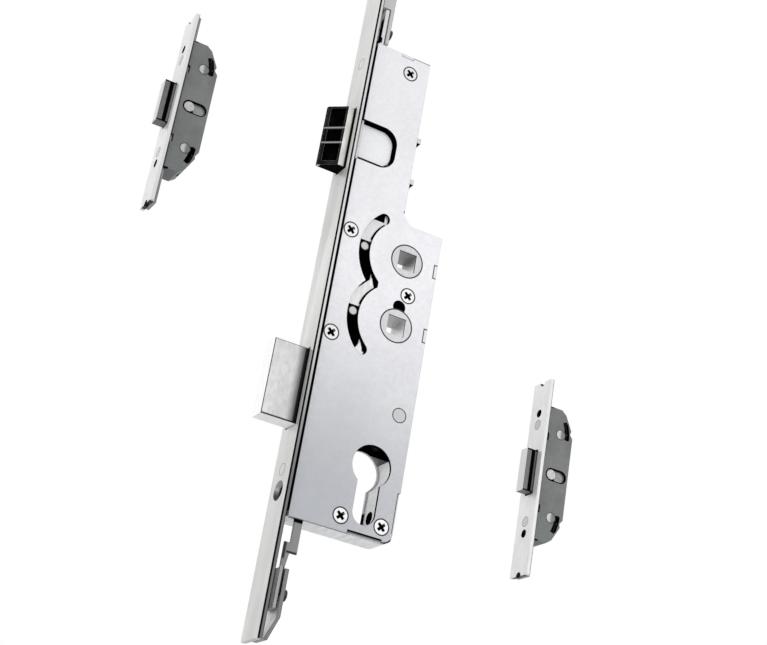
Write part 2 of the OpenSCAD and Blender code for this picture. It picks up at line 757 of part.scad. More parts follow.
// Deadbolt: thick head, and a thinner tail arm with an upright slot for the key lever's pin
module deadbolt() {
    color("silver") difference() {
        union() {
            block(-bolt_out, bolt_head_back, bolt_near, bolt_far, bolt_low, bolt_high);
            block(bolt_head_back - eps, bolt_tail_back, bolt_near, bolt_tail_far,
                bolt_tail_low, bolt_high);
            block(bolt_tail_back - fork_w, bolt_tail_back, bolt_near, bolt_tail_far,
                bolt_high - eps, bolt_tail_high);
        }
        block(key_tip_x - key_pin_r - key_slot_front, key_tip_x + key_pin_r + key_slot_back,
            bolt_near - 1, bolt_tail_far + 1, key_tip_z - key_pin_r - key_slot_back, bolt_tail_high + 1);
    }
}

// Key lever: the cylinder's cam turns its short arm and its pin draws the deadbolt back
module key_lever() {
    color("darkgray") difference() {
        upright(key_near, lever_far) {
            rod_2d([key_x, key_z], [key_tip_x, key_tip_z], key_tip_r);
            rod_2d([key_x, key_z], [key_x - key_foot[0], key_z - key_foot[1]], key_foot_r);
            translate([key_x, key_z]) circle(r = key_hub_r);
        }
        round_y(key_x, key_z, rivet_head_r - 0.5 + pivot_gap, key_near - 1, lever_far + 1);
        round_y(key_tip_x, key_tip_z, key_pin_r, key_near - 1, lever_far + 1);
    }
}

// Pin in the key lever's long arm
module key_lever_pin() {
    color("silver") round_y(key_tip_x, key_tip_z, key_pin_r, bolt_near + 0.2, lever_far);
}

// Follower: collars in both sheets, a flange, a square socket and the arm that carries the pin
module follower(z) {
    difference() {
        union() {
            round_y(backset, z, collar_r, near_out, far_out);
            round_y(backset, z, flange_r, arm_near, flange_far);
            upright(arm_near, arm_far) {
                rod_2d([backset, z], [backset - arm_r, z], arm_end_r);
            }
        }
        translate([backset, 0, z])
            cube([socket_w, case_t + 2, socket_w], center = true);
        round_y(backset - arm_r, z, pin_r, arm_near - 1, arm_far + 1);
    }
}

module upper_follower() {
    color("lightgray") follower(0);
}

module lower_follower() {
    color("lightgray") follower(lower_z);
}

// Pin in a follower's arm that shows through the curved slot
module arm_pin(z) {
    round_y(backset - arm_r, z, pin_r, near_out + 0.2, arm_far);
}

module upper_arm_pin() {
    color("silver") arm_pin(0);
}

module lower_arm_pin() {
    color("silver") arm_pin(lower_z);
}

// Rectangle in X and Z, for plates drawn with upright
module patch(x0, x1, z0, z1) {
    translate([x0, z0]) square([x1 - x0, z1 - z0]);
}

// Curved gap between a finger of the drive slide and the slide's spine
module finger_gap(z, low, high) {
    translate([backset, slide_far + 1, z]) rotate([90, 180 + high, 0])
        rotate_extrude(angle = high - low)
            translate([finger_gap_r, 0]) square([finger_gap_w, slide_t + 2]);
}

// Drive slide: the pressed plate with the hole for the lower connecting bar's rivet
module drive_slide() {
    color("gainsboro") difference() {
        drive_plate();
        finger_gap(0, upper_gap[0], upper_gap[1]);
        finger_gap(lower_z, lower_gap[0], lower_gap[1]);
        round_x(0, low_rivet_z, link_rivet_r - rivet_shoulder, bar_x - 1, bar_x + bar_t + 1);
    }
}

// Pressed plate under the cover, from the upper drive bar to the folded lower bar
module drive_plate() {
    union() {
        upright(slide_near, slide_far) {
            polygon([
                [finger_x0, finger_top_low], [spine_x1, finger_top_low], [spine_x1, upper_tip[1]],
                upper_tip, upper_knee, [finger_x0, upper_knee[1] - upper_slope]
            ]);
            translate([0, lower_z]) polygon([
                [finger_x0, finger_top_low], [spine_x1, finger_top_low], [spine_x1, finger_h],
                lower_inner, lower_tip, lower_knee, [finger_x0, lower_knee[1] - lower_slope]
            ]);
            patch(spine_x0, spine_x1, tail_run_top - slide_band, finger_top_low + slide_band);
            patch(neck_spine_x0, spine_x1, finger_top_low, bridge_z + bridge_h);
            patch(bar_x, spine_x1, bridge_z, bridge_z + bridge_h);
            patch(tail_run_x0, spine_x1, tail_run_top - slide_band, tail_run_top);
            patch(tail_run_x0, tail_run_x1, tail_run_low, tail_run_top);
            patch(leg_x0, tail_run_x1, tail_run_low, tail_run_low + slide_band);
            patch(leg_x0, leg_x1, foot_low, tail_run_low + 1);
            patch(foot_x0, leg_x1, foot_low, foot_top);
            polygon([
                [bar_x, foot_low + eps], [bar_x + bar_t + 1, foot_low + eps],
                [bar_x + bar_t, low_bar_top - 1], [bar_x, low_bar_top - 1]
            ]);
        }
        block(bar_x, bar_x + bar_t, slide_near, bar_w / 2, low_bar_low, low_bar_top);
        block(lift_lug_x, lift_lug_x + lift_lug_w, slide_far - eps, lever_far,
            lift_lug_low, lift_lug_high);
    }
}

// Upper drive bar, notched over the slide's bridge
module upper_drive_bar() {
    color("gainsboro") difference() {
        block(bar_x, bar_x + bar_t, slide_near, bar_w / 2, top_bar_low, top_bar_high);
        block(bar_x - 1, bar_x + bar_t + 1, slide_near - 1, slide_far + eps,
            bridge_z - eps, bridge_z + bridge_h + eps);
        round_x(0, top_rivet_z, link_rivet_r - rivet_shoulder, bar_x - 1, bar_x + bar_t + 1);
    }
}

// Connecting bar of the upper rod, bent towards the faceplate above its coupling block
module upper_connector() {
    color("darkgray") difference() {
        upright(-link_w / 2, link_w / 2) {
            polygon([
                [link_x, link_top_low], [link_x + bar_t, link_top_low],
                [link_x + bar_t, link_bend_low + 1], [rail_x + rail_t, link_bend_high + 1],
                [rail_x + rail_t, link_top_end], [rail_x, link_top_end],
                [rail_x, link_bend_high], [link_x, link_bend_low]
            ]);
            patch(rail_x + 1, link_x + 0.5, block_z0, block_z1);
        }
        round_x(0, top_rivet_z, link_rivet_r - rivet_shoulder, link_x - 1, link_x + bar_t + 1);
    }
}

// Connecting bar of the lower rod, bent towards the faceplate at its cut end
module lower_connector() {
    color("darkgray") difference() {
        upright(-link_w / 2, link_w / 2) polygon([
            [link_x, link_low_top], [link_x + bar_t, link_low_top],
            [link_x + bar_t, link_low_bend], [link_low_x + bar_t, link_low_end],
            [link_low_x, link_low_end], [link_x, link_low_bend - 0.8]
        ]);
        round_x(0, low_rivet_z, link_rivet_r - rivet_shoulder, link_x - 1, link_x + bar_t + 1);
    }
}

// Rivets with domed heads that join the drive bars and the connecting bars
module connector_rivets() {
    color("dimgray") for (z = [top_rivet_z, low_rivet_z]) {
        round_x(0, z, link_rivet_r - rivet_shoulder, bar_x, link_x + bar_t);
        translate([link_x + bar_t, 0, z]) rotate([0, 90, 0])
            cylinder(r1 = link_rivet_r, r2 = link_rivet_r - 0.5, h = link_rivet_h);
    }
}

// Faceplate of a box, cut through a screw hole at each end
module box_faceplate() {
    difference() {
        block(0, plate_t, -plate_w / 2, plate_w / 2, box_plate_bottom, box_plate_top);
        block(-1, plate_t + 1, -box_bolt_t / 2 - bolt_gap, box_bolt_t / 2 + bolt_gap,
            -box_bolt_h / 2 - bolt_gap, box_bolt_h / 2 + bolt_gap);
        for (s = [-1, 1]) {
            round_x(0, s * box_plate_rivet_z, box_rivet_r, -1, plate_t + 1);
            round_x(0, s * door_screw_z, door_screw_r, -1, plate_t + 1);
        }
        for (z = [box_plate_top, box_plate_bottom]) round_x(0, z, door_screw_r, -1, plate_t + 1);
    }
}

// Outline of a box, moved in by a wall's thickness
module box_outline(front, inset) {
    half = box_half - inset;
    back = box_back - inset;
    polygon([
        [front, half], [box_slope[0][0] - inset / 2, half],
        [box_slope[1][0] - inset / 2, half - box_slope[1][1]],
        [box_slope[2][0] - inset, box_slope[2][1]], [box_slope[3][0] - inset, box_slope[3][1]],
        [back, box_slope[4]],
        [back, -box_slope[4]],
        [box_slope[3][0] - inset, -box_slope[3][1]], [box_slope[2][0] - inset, -box_slope[2][1]],
        [box_slope[1][0] - inset / 2, box_slope[1][1] - half],
        [box_slope[0][0] - inset / 2, -half], [front, -half]
    ]);
}

// Tray of a box: far sheet, walls, and a front wall behind the drive rail
module box_tray() {
    difference() {
        union() {
            upright(box_far_in, box_far_out) box_outline(box_front, 0);
            upright(box_near_in, box_far_out) box_outline(box_front_in, 0);
        }
        upright(box_near_in - 1, box_far_in) box_outline(box_front_in + box_wall, box_wall);
        block(box_front_in - 1, box_front_in + box_wall + 1,
            -box_bolt_t / 2 - play, box_bolt_t / 2 + play,
            -box_bolt_h / 2 - bolt_gap, box_bolt_h / 2 + bolt_gap);
        block(box_front_in - 1, box_front_in + box_wall + 1, box_near_in - 1, cam_far + play,
            cam_low - cam_gap, cam_top + lift + cam_gap);
        for (s = [-1, 1]) {
            round_x(0, s * box_plate_rivet_z, box_rivet_r - 1,
                box_front_in - 1, box_front_in + box_wall + 1);
            round_x(0, s * door_screw_z, door_screw_r, box_front_in - 1, box_back);
            round_y(box_rivet_x, s * box_rivet_z, box_rivet_r, box_far_in - 1, box_far_out + 1);
        }
    }
}

// Cover of a box, with the stud's slot, two curved slots and notches in its front edge
module box_cover() {
    y0 = box_near_out - 1;
    y1 = box_near_in + 1;
    difference() {
        upright(box_near_out, box_near_in) box_outline(box_front, 0);
        block(stud_x, stud_x + box_bolt_travel, y0, y1, -slot_r, slot_r);
        round_y(stud_x, 0, slot_r, y0, y1);
        round_y(stud_x + box_bolt_travel, 0, slot_r, y0, y1);
        for (s = [-1, 1]) {
            round_y(box_rivet_x, s * box_rivet_z, box_rivet_r, y0, y1);
            block(box_front - 1, box_front + box_notch_d, y0, y1,
                s * box_notch_z - box_notch_half, s * box_notch_z + box_notch_half);
            translate([curve_x, y1, s * curve_z]) rotate([90, s > 0 ? 0 : curve_angle, 0])
                rotate_extrude(angle = curve_angle) translate([curve_r, 0]) square([curve_w, y1 - y0]);
        }
    }
}

// Deadbolt of a box: head, neck and the stud that the drive rail's slanted slot moves
module box_bolt() {
    union() {
        block(-box_bolt_out, box_head_back, -box_bolt_t / 2, box_bolt_t / 2,
            -box_bolt_h / 2, box_bolt_h / 2);
        block(box_head_back - 1, stud_x + stud_r, -box_bolt_t / 2, box_bolt_t / 2,
            -box_neck_half, box_neck_half);
        round_y(stud_x, 0, stud_r, box_near_out + stud_sink, box_near_in);
        round_y(stud_x, 0, stud_pin_r, box_near_in - eps, -box_bolt_t / 2 + eps);
    }
}

// Drive rail of a box: a ladder behind the faceplate with a folded plate that holds the slanted slot
module box_drive_rail() {
    run = [box_bolt_travel, -lift];
    difference() {
        union() {
            block(rail_x, rail_x + rail_t, -rail_half_w, rail_half_w, box_plate_bottom, box_plate_top);
            block(rail_x, cam_back, cam_near, cam_far, cam_low, cam_top);
        }
        block(rail_x - 1, rail_x + rail_t + 1, -box_window_half, box_window_half,
            rail_window_low, rail_window_high);
        upright(cam_near - 1, cam_far + 1)
            rod_2d([stud_x, 0], [stud_x, 0] + run, stud_pin_r + stud_gap);
    }
}

// Rivets through a box
module box_case_rivets() {
    for (s = [-1, 1])
        round_y(box_rivet_x, s * box_rivet_z, box_rivet_r, box_near_out, box_far_out);
}

// Rivets through a box's faceplate into its front wall
module box_faceplate_rivets() {
    for (s = [-1, 1]) {
        round_x(0, s * box_plate_rivet_z, box_rivet_r, 0, plate_t);
        round_x(0, s * box_plate_rivet_z, box_rivet_r - 1, plate_t - eps, box_front_in + box_wall);
    }
}

module upper_box_faceplate() {
    color("white") translate(upper_box_at) box_faceplate();
}

module upper_box_tray() {
    color("gray") translate(upper_box_at) box_tray();
}

module upper_box_cover() {
    color("gray") translate(upper_box_at) box_cover();
}

module upper_box_bolt() {
    color("silver") translate(upper_box_at) box_bolt();
}

module upper_box_drive_rail() {
    color("gainsboro") translate(upper_box_at) box_drive_rail();
}

module upper_box_case_rivets() {
    color("silver") translate(upper_box_at) box_case_rivets();
}

module upper_box_faceplate_rivets() {
    color("silver") translate(upper_box_at) box_faceplate_rivets();
}

module lower_box_faceplate() {
    color("white") translate(lower_box_at) box_faceplate();
}

module lower_box_tray() {
    color("gray") translate(lower_box_at) box_tray();
}

module lower_box_cover() {
    color("gray") translate(lower_box_at) box_cover();
}

module lower_box_bolt() {
    color("silver") translate(lower_box_at) box_bolt();
}

module lower_box_drive_rail() {
    color("gainsboro") translate(lower_box_at) box_drive_rail();
}

module lower_box_case_rivets() {
    color("silver") translate(lower_box_at) box_case_rivets();
}

module lower_box_faceplate_rivets() {
    color("silver") translate(lower_box_at) box_faceplate_rivets();
}

faceplate();
faceplate_rivets();
case_tray();
case_cover();
cover_posts();
cover_screws();
cylinder_screw_block();
key_lever_rivet();
latch_lever_stud();
latch_head();
latch_tail();
latch_spring();
upper_return_spring();
lower_return_spring();
latch_lever();
deadbolt();
key_lever();
key_lever_pin();
upper_follower();
lower_follower();
upper_arm_pin();
lower_arm_pin();
drive_slide();
upper_drive_bar();
upper_connector();
lower_connector();
connector_rivets();
upper_box_faceplate();
upper_box_tray();
upper_box_cover();
upper_box_bolt();
upper_box_drive_rail();
upper_box_case_rivets();
upper_box_faceplate_rivets();
lower_box_faceplate();
lower_box_tray();
lower_box_cover();
lower_box_bolt();
lower_box_drive_rail();
lower_box_case_rivets();
lower_box_faceplate_rivets();
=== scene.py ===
import math

import bmesh
import bpy
from mathutils import Matrix, Vector


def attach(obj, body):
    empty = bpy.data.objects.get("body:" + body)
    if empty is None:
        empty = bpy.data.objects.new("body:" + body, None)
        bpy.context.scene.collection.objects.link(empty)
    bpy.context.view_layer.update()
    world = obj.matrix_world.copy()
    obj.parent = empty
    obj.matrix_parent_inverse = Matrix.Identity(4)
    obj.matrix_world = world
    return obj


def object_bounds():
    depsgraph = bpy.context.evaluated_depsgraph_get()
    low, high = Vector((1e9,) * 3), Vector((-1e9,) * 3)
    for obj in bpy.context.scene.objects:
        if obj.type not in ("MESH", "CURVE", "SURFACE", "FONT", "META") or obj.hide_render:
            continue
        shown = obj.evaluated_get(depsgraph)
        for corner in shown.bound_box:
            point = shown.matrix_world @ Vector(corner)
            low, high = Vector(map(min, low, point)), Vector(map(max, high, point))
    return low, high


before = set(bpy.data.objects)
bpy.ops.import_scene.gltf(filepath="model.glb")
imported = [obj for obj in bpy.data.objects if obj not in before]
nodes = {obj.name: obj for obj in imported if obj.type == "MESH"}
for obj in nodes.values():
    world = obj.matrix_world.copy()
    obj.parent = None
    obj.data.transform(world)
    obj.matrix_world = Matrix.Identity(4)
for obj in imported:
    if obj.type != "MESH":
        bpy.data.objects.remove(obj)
cad_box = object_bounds()

# Sizes and places in millimetres, in the part's frame
MM = 0.001
# Cover's near face
NEAR = -6.5
# Spindles as (x, z), and the followers' collars, arms and pins
UPPER_HUB = (35.0, 0.0)
LOWER_HUB = (35.0, -30.0)
HUBS = (UPPER_HUB, LOWER_HUB)
COLLAR_R = 7.25
SOCKET_R = 6.2
ARM_FROM_R = 8.7
PIN_ARM = 20.3
PIN_R = 1.62
PIN_SINK = 0.2
# Key lever's rivet as (x, z, radius)
KEY_RIVET = (43.3, -67.6, 3.0)
# Cover screws as (x, z)
SCREWS = ((21.2, 88.0), (7.2, 4.8), (7.0, -42.4), (38.1, -15.2), (25.3, -115.4), (43.6, -115.2))
SCREW_R = 3.4
CROSS_R = 1.85
CROSS_HALF = 0.95
# Case: its tabs, its rounded low corner, the dot of painted shade where the neck steps out, and the cylinder's
# hole and screw
TAB_Z = (0.0, -30.0)
TAB_HALF = 3.3
CORNER = (44.6, -116.6)
CORNER_R = 4.4
STEP_SHADE = (30.1, 21.8, 0.6)
HOLE_X = (36.0, 46.5)
HOLE_Z = (-108.5, -84.0)
CYLINDER_SCREW_Z = -111.2
# Strip
PLATE_RIVET_Z = (86.9, -102.4)
PLATE_RIVET_R = 2.42
# Latch: its ribs, and its bevel's plane as a point and a normal in X and Y
LATCH_RIB_Z = (44.1, 51.4)
BEVEL_POINT = (-10.0, 3.0)
BEVEL_NORMAL = (-0.6994, -0.7147)
# Drive: where the upper bar leaves the case, and where the lower bar begins
UPPER_BAR_Z = 98.0
LOWER_BAR_Z = -141.0
# Origins of the deadbolt boxes, by the start of their pieces' names
BOXES = {"upper_box_": (-49.0, 120.0, 100.5), "lower_box_": (183.5, 120.0, -23.5)}
# Measured from a box's origin: the Y in front of which only its cover lies, its case rivets as (x, z, radius), and
# its strip's rivets
BOX_COVER_Y = -5.35
BOX_RIVET = (10.9, 22.8, 2.5)
BOX_PLATE_RIVET_Z = 26.7
# Stud's slot as (from x, to x, radius), and a curved slot's band of painted shade as (centre x, centre z, radius,
# half width)
BOX_STUD_SLOT = (8.05, 13.75, 3.5)
BOX_ARC = (-10.2, 20.6, 25.0, 1.5)
# Pressed lips that rise from the slide's fingers in the curved slots, as (x, z) outlines between two Y
LIPS = (
    ((20.38, -10.9), (20.7, -12.3), (21.3, -13.4), (21.9, -15.2), (21.6, -16.4), (20.2, -16.0),
     (20.1, -14.2), (20.4, -12.6)),
    ((20.4, -40.7), (21.2, -42.2), (21.9, -43.8), (22.3, -45.4), (23.0, -46.9), (22.0, -47.6),
     (19.4, -47.4), (18.2, -45.8), (19.6, -44.0), (20.3, -42.6)),
)
LIP_Y = (-5.16, -4.4)

# Tints, and the grain of sheet, of turned pins and of small heads
NO_TINT = (1.0, 1.0, 1.0)
SHEET_TINT = (1.0, 0.993, 1.02)
SHEET_GRAIN = (0.7, 0.7, 0.7)
PIN_GRAIN = (1.1, 0.3, 1.1)
HEAD_GRAIN = (0.9, 0.9, 0.9)
# Limits of a face's normal for inner walls, wider than those of the other masks
WIDE_LOW = (-0.7, -0.4)
WIDE_HIGH = (0.4, 0.7)


# Linear colour of a grey level from 0 to 255, with an optional tint
def grey(v, tint=NO_TINT):
    lin = ((v / 255.0 + 0.055) / 1.055) ** 2.4
    return (min(1.0, lin * tint[0]), min(1.0, lin * tint[1]), min(1.0, lin * tint[2]), 1.0)


# A material's node graph, with short calls for masks, grain, edges with rubbing and painted edge shading, and
# bump.
# Lengths are in millimetres, measured from the place given as its origin.
class Paint:
    def __init__(self, name, origin=(0.0, 0.0, 0.0), edge_width=0.3):
        self.mat = bpy.data.materials.new(name)
        self.mat.use_nodes = True
        self.tree = self.mat.node_tree
        self.tree.nodes.clear()
        out = self.add("ShaderNodeOutputMaterial")
        self.bsdf = self.add("ShaderNodeBsdfPrincipled")
        self.feed(out.inputs["Surface"], self.bsdf.outputs["BSDF"])
        coord = self.add("ShaderNodeTexCoord")
        scale = self.add("ShaderNodeMapping")
        scale.inputs["Location"].default_value = tuple(-v for v in origin)
        scale.inputs["Scale"].default_value = (1 / MM, 1 / MM, 1 / MM)
        self.feed(scale.inputs["Vector"], coord.outputs["Object"])
        self.place = scale.outputs["Vector"]
        self.x, self.y, self.z = self.split(self.place)
        self.nx, self.ny, self.nz = self.split(coord.outputs["Normal"])
        self.edge = self.edge_mask(edge_width)

    def add(self, kind, **props):
        node = self.tree.nodes.new(kind)
        for key, value in props.items():
            setattr(node, key, value)
        return node

    def feed(self, socket, value):
        if isinstance(value, (int, float, tuple)):
            socket.default_value = value
        else:
            self.tree.links.new(value, socket)

    def split(self, vector):
        node = self.add("ShaderNodeSeparateXYZ")
        self.feed(node.inputs["Vector"], vector)
        return node.outputs["X"], node.outputs["Y"], node.outputs["Z"]

    def math(self, op, a, b=None):
        node = self.add("ShaderNodeMath", operation=op)
        self.feed(node.inputs[0], a)
        if b is not None:
            self.feed(node.inputs[1], b)
        return node.outputs[0]

    def ramp(self, value, low, high, out_low=0.0, out_high=1.0):
        node = self.add("ShaderNodeMapRange", interpolation_type="SMOOTHSTEP")
        node.inputs["From Min"].default_value = low
        node.inputs["From Max"].default_value = high
        node.inputs["To Min"].default_value = out_low
        node.inputs["To Max"].default_value = out_high
        self.feed(node.inputs["Value"], value)
        return node.outputs["Result"]

    def above(self, value, at, soft=0.1):
        return self.ramp(value, at - soft, at + soft)

    def below(self, value, at, soft=0.1):
        return self.ramp(value, at - soft, at + soft, 1.0, 0.0)

    def within(self, value, low, high):
        return self.both(self.above(value, low), self.below(value, high))

    def both(self, *masks):
        total = masks[0]
        for mask in masks[1:]:
            total = self.math("MULTIPLY", total, mask)
        return total

    def either(self, *masks):
        total = masks[0]
        for mask in masks[1:]:
            total = self.math("MAXIMUM", total, mask)
        return total

    def flip(self, mask):
        return self.math("SUBTRACT", 1.0, mask)

    def size(self, value):
        return self.math("ABSOLUTE", value)

    def off(self, value, at):
        return self.size(self.math("SUBTRACT", value, at))

    def radius(self, a, b, ca, cb):
        da = self.math("SUBTRACT", a, ca)
        db = self.math("SUBTRACT", b, cb)
        squares = self.math("ADD", self.math("MULTIPLY", da, da), self.math("MULTIPLY", db, db))
        return self.math("SQRT", squares)

    # Faces turned to the low end of an axis, to its high end, to either end, and to neither
    def low_face(self, normal, full=-0.85, none=-0.6):
        return self.ramp(normal, full, none, 1.0, 0.0)

    def high_face(self, normal, none=0.5, full=0.8):
        return self.ramp(normal, none, full)

    def end_face(self, normal):
        return self.ramp(self.size(normal), 0.6, 0.9)

    def edge_face(self, normal):
        return self.ramp(self.size(normal), 0.5, 0.8, 1.0, 0.0)

    def noise(self, scale, detail=3.0, rough=0.5):
        mapping = self.add("ShaderNodeMapping")
        mapping.inputs["Scale"].default_value = scale
        self.feed(mapping.inputs["Vector"], self.place)
        node = self.add("ShaderNodeTexNoise")
        node.inputs["Scale"].default_value = 1.0
        node.inputs["Detail"].default_value = detail
        node.inputs["Roughness"].default_value = rough
        self.feed(node.inputs["Vector"], mapping.outputs["Vector"])
        return node.outputs["Fac"]

    def mix(self, fac, a, b):
        node = self.add("ShaderNodeMix", data_type="RGBA")
        self.feed(node.inputs[0], fac)
        self.feed(node.inputs[6], a)
        self.feed(node.inputs[7], b)
        return node.outputs[2]

    def edge_mask(self, radius):
        rounded = self.add("ShaderNodeBevel", samples=4)
        rounded.inputs["Radius"].default_value = radius * MM
        sharp = self.add("ShaderNodeNewGeometry")
        dot = self.add("ShaderNodeVectorMath", operation="DOT_PRODUCT")
        self.feed(dot.inputs[0], rounded.outputs["Normal"])
        self.feed(dot.inputs[1], sharp.outputs["True Normal"])
        self.rounded = rounded.outputs["Normal"]
        return self.ramp(dot.outputs["Value"], 0.999, 0.86)

    # A share of another colour along the edges, for rubbing and for painted edge shading: dark outlines on most
    # parts, painted highlights on the box cases and the latch
    def edge_wear_and_shading(self, base, share, colour):
        return self.mix(self.math("MULTIPLY", self.edge, share), base, colour)

    # Two greys clouded into each other, with fine lines of grain over them
    def steel(self, light, dark, grain, depth=0.14, tint=NO_TINT, cloud=0.035):
        fog = self.ramp(self.noise((cloud, cloud, cloud * 0.8), 4.0, 0.55), 0.3, 0.72)
        self.grain = self.noise(grain, 2.0, 0.6)
        base = self.mix(fog, grey(dark, tint), grey(light, tint))
        return self.mix(self.ramp(self.grain, 0.28, 0.72, 0.0, depth), base, grey(dark * 0.72, tint))

    # The height gives the bump and, between the two values of rough, the roughness.
    # Where dull is given, the surface loses its shine there.
    def finish(self, colour, metallic, rough, height, strength=0.2, distance=0.02, dull=None):
        if dull is not None:
            metallic = self.ramp(dull, 0.0, 1.0, metallic, 0.0)
            self.feed(self.bsdf.inputs["Specular IOR Level"], self.ramp(dull, 0.0, 1.0, 0.5, 0.0))
        self.feed(self.bsdf.inputs["Base Color"], colour)
        self.feed(self.bsdf.inputs["Metallic"], metallic)
        self.feed(self.bsdf.inputs["Roughness"], self.ramp(height, 0.2, 0.8, *rough))
        bump = self.add("ShaderNodeBump")
        bump.inputs["Strength"].default_value = strength
        bump.inputs["Distance"].default_value = distance * MM
        self.feed(bump.inputs["Height"], height)
        self.feed(bump.inputs["Normal"], self.rounded)
        self.feed(self.bsdf.inputs["Normal"], bump.outputs["Normal"])
        return self.mat


# Cover: satin sheet, with a painted reflection that keeps it pale above and makes it cooler and darker at its
# foot.
# Painted shade makes the cut edges inside its openings black and its outer cut edges grey, and painted shadow
# lines run along the gap beside the strip, under the case and round the low corner. The tabs at the back and lines
# along the top and the back edge are painted shade as well.
def cover_steel():
    p = Paint("cover_steel", edge_width=0.28)
    base = p.steel(242, 234, SHEET_GRAIN, 0.1, SHEET_TINT)
    # Painted reflection: pale above, cooler and darker towards the foot
    foot = p.both(p.ramp(p.z, -10.0, -112.0), p.ramp(p.x, 20.0, 46.0, 1.0, 0.86))
    base = p.mix(foot, base, grey(182, (0.96, 0.985, 1.035)))
    base = p.edge_wear_and_shading(base, 0.42, grey(96))
    # Painted shade: the tabs at the back dark grey, then black
    tabs = p.both(p.either(*[p.below(p.off(p.z, z), TAB_HALF) for z in TAB_Z]), p.above(p.x, 47.85))
    base = p.mix(tabs, base, p.mix(p.above(p.x, 48.9, 0.3), grey(70), grey(8)))
    # Painted shadow lines beside the strip, under the case and round the low corner
    strip_gap_shadow = p.below(p.x, 3.58)
    foot_gap_shadow = p.both(p.below(p.z, -120.0), p.within(p.x, 29.2, CORNER[0]))
    corner_gap_shadow = p.both(p.above(p.radius(p.x, p.z, *CORNER), CORNER_R),
                         p.above(p.x, CORNER[0]), p.below(p.z, CORNER[1]))
    gap_shadow = p.either(strip_gap_shadow, foot_gap_shadow, corner_gap_shadow)
    base = p.mix(gap_shadow, base, grey(9))
    # Painted shade lines along the top and the back edge
    top_line = p.both(p.above(p.z, 96.0), p.above(p.x, 20.5))
    base = p.mix(top_line, base, grey(128))
    back_line = p.both(p.above(p.x, 48.25), p.within(p.z, CORNER[1], -99.6))
    base = p.mix(back_line, base, grey(70))
    # A dot of painted shade where the neck steps out
    shade_x, shade_z, shade_r = STEP_SHADE
    base = p.mix(p.below(p.radius(p.x, p.z, shade_x, shade_z), shade_r), base, grey(12))
    # Painted shade on the cut edges: black inside the openings, grey round the outline
    cut = p.edge_face(p.ny)
    outline = p.either(p.above(p.x, 47.9), p.above(p.z, 95.0), p.below(p.z, -119.5),
                       p.both(p.above(p.x, 29.0), p.above(p.z, 15.5)))
    base = p.mix(cut, base, p.mix(outline, grey(9), grey(150)))
    return p.finish(base, 0.35, (0.38, 0.5), p.grain, 0.12, dull=p.either(gap_shadow, p.both(cut, p.flip(outline))))


# Tray: the same sheet outside, darkened towards its foot by the same painted reflection, and painted lighter and
# streaked underneath; painted shade keeps it unlit and dark inside but round the cylinder's hole
def tray_steel():
    p = Paint("tray_steel", edge_width=0.3)
    base = p.steel(236, 226, SHEET_GRAIN, 0.1, SHEET_TINT)
    # Painted reflection: darker and cooler towards the foot
    base = p.mix(p.ramp(p.z, -116.0, -30.0, 0.7, 0.0), base, grey(206, (0.97, 0.99, 1.03)))
    # Underside painted lighter, with streaks
    under = p.both(p.low_face(p.nz), p.below(p.z, -118.0))
    streak = p.ramp(p.noise((0.5, 0.08, 0.5), 3.0, 0.6), 0.3, 0.7)
    base = p.mix(under, base, p.mix(streak, grey(232), grey(255)))
    base = p.edge_wear_and_shading(base, 0.5, grey(70))
    # Painted shade: dark inside, but round the cylinder's hole
    round_hole = p.both(p.within(p.x, *HOLE_X), p.within(p.z, *HOLE_Z))
    past_hole = p.either(p.above(p.z, HOLE_Z[1]), p.below(p.z, HOLE_Z[0]))
    far_sheet = p.both(p.low_face(p.ny, *WIDE_LOW), p.above(p.y, 0.0), p.flip(round_hole))
    back_wall = p.both(p.low_face(p.nx, *WIDE_LOW),
                       p.either(p.both(p.above(p.x, 10.0), past_hole), p.below(p.x, 3.6)))
    front_wall = p.both(p.high_face(p.nx, *WIDE_HIGH), p.below(p.x, 10.0))
    top_wall = p.both(p.low_face(p.nz, *WIDE_LOW), p.above(p.z, 20.0))
    low_wall = p.both(p.high_face(p.nz, *WIDE_HIGH), p.below(p.z, -60.0))
    inside = p.either(far_sheet, back_wall, front_wall, top_wall, low_wall)
    base = p.mix(inside, base, p.mix(p.ramp(p.grain, 0.3, 0.7), grey(7), grey(15)))
    return p.finish(base, 0.35, (0.4, 0.52), p.grain, 0.12, dull=inside)


